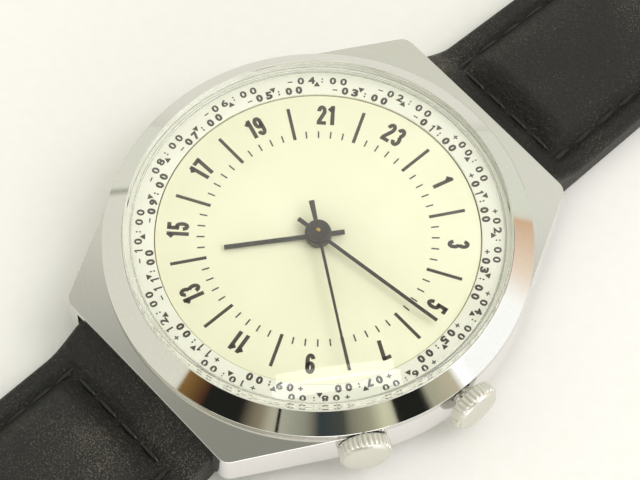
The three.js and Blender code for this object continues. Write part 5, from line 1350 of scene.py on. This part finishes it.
turns = [pi / 2 * i / 8 for i in range(9)]
corner = [(FRAME_OUT - FRAME_CORNER + FRAME_CORNER * cos(a),
           FRAME_FAR - FRAME_CORNER + FRAME_CORNER * sin(a)) for a in turns]
half = [(0, FRAME_FAR - FRAME_WIDE), (FRAME_IN, FRAME_FAR - FRAME_WIDE), (FRAME_IN, FRAME_NEAR),
        (FRAME_OUT, FRAME_NEAR), *corner, (0, FRAME_FAR)]
bm = solid_from_outline(half, FRAME_LOW, FRAME_HIGH)
bmesh.ops.bisect_plane(bm, geom=everything(bm), dist=MEET, plane_co=(0, 0, 0),
                       plane_no=(-1, 0, 0), clear_outer=True)
middle = [f for f in bm.faces if all(abs(v.co.x) < TINY for v in f.verts)]
bmesh.ops.delete(bm, geom=middle, context="FACES_ONLY")
bmesh.ops.mirror(bm, geom=everything(bm), axis="X", merge_dist=TINY)
bmesh.ops.recalc_face_normals(bm, faces=bm.faces)
break_edges(bm, 0.55, segments=4, sharper=radians(50), chosen=lambda e: any(
    abs(e.verts[0].co[axis] - e.verts[1].co[axis]) > TINY for axis in (0, 1)))
finish_piece("buckle_frame_bent", bm, polished_steel, "buckle",
             ["buckle_frame"])

ON_BAR = Matrix.Translation((0, BUCKLE_Y, BUCKLE_Z)) @ ALONG_X
bm = turned([(0, -10.2), (0.6, -10.2), (0.75, -10.05), (0.75, 10.05), (0.6, 10.2), (0, 10.2)],
            steps=32, close=False)
finish_piece("buckle_bar_turned", moved(bm, ON_BAR), polished_steel, "buckle",
             ["buckle_bar"])

# %% Tongue
TONGUE_HALF, EYE_IN, EYE_OUT = 0.9, 0.78, 1.25
FROM_THE_SIDE = Matrix(((0, 0, 1, 0), (1, 0, 0, 0), (0, 1, 0, 0), (0, 0, 0, 1)))
finger = [(BUCKLE_Y, 2.15), (BUCKLE_Y + 1.2, 2.25), (100.1, 2.32), (104.1, 2.32), (104.1, 2.72),
          (103.7, 2.86), (102.1, 3.07), (BUCKLE_Y, 2.65)]
bm = moved(solid_from_outline(finger, -TONGUE_HALF, TONGUE_HALF), FROM_THE_SIDE)
bmesh.ops.recalc_face_normals(bm, faces=bm.faces)
break_edges(bm, 0.18, segments=3, sharper=radians(50))
eye = turned([(EYE_IN, -TONGUE_HALF), (EYE_OUT, -TONGUE_HALF), (EYE_OUT, TONGUE_HALF),
              (EYE_IN, TONGUE_HALF)], edge=0.12, steps=40)
join(bm, moved(eye, ON_BAR))
finish_piece("buckle_tongue_bent", bm, polished_steel, "buckle_tongue",
             ["buckle_tongue"])

# %% [markdown]
# The movement is hidden in the photograph. Its imported pieces have the right shapes, so they
# stay and only take finishes: frosted brass for the plate and its holder, striped nickel for
# the bridges, gilt brass for the wheels, polished steel for arbors and levers, and blued steel
# for the springs. A gasket of black rubber closes the list.

# %% Movement finishes
plate_brass = metal("frosted_plate_brass", "#B39A58", "#CDB673", 0.32, 0.48, 14, 0.01)
bridge_nickel = metal("striped_bridge_nickel", "#B5B2A8", "#D6D3CB", 0.18, 0.42, 0.6, 0.01,
                      (0.2, 1.6, 1))
train_steel = metal("polished_train_steel", "#A9A8A4", "#CFCECA", 0.10, 0.26, 5)
blued_spring = metal("blued_spring_steel", "#2E3F66", "#4A5F8C", 0.18, 0.32, 3)
rubber = drifting_tone("black_gasket_rubber", 3, 4, "#151515", "#2B2B2A", 0.75)

finishes = {
    plate_brass: ["main_plate", "movement_holder"],
    bridge_nickel: ["train_bridge", "barrel_bridge", "balance_cock", "pallet_bridge"],
    gilt_brass: ["hour_wheel", "minute_wheel", "third_wheel", "centre_wheel", "fourth_wheel",
                 "escape_wheel", "barrel_drum", "barrel_cover", "balance_wheel"],
    blued_spring: ["mainspring", "balance_spring"],
    rubber: ["back_gasket"]}
finish_of = {node: finish for finish, names in finishes.items() for node in names}
for name, node in nodes.items():
    if node.data.materials:
        node.data.materials.clear()
    node.data.materials.append(finish_of.get(name, train_steel))

# %% [markdown]
# At the end the size of the dressed watch is printed next to the size of the imported one, in
# millimetres, so that the two can be compared.

# %% Sizes
shown_box = [list(corner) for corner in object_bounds()]
for which, (low, high) in (("packed", cad_box), ("dressed", shown_box)):
    print(which, "mm:", [round(v / MM, 2) for v in low], [round(v / MM, 2) for v in high])
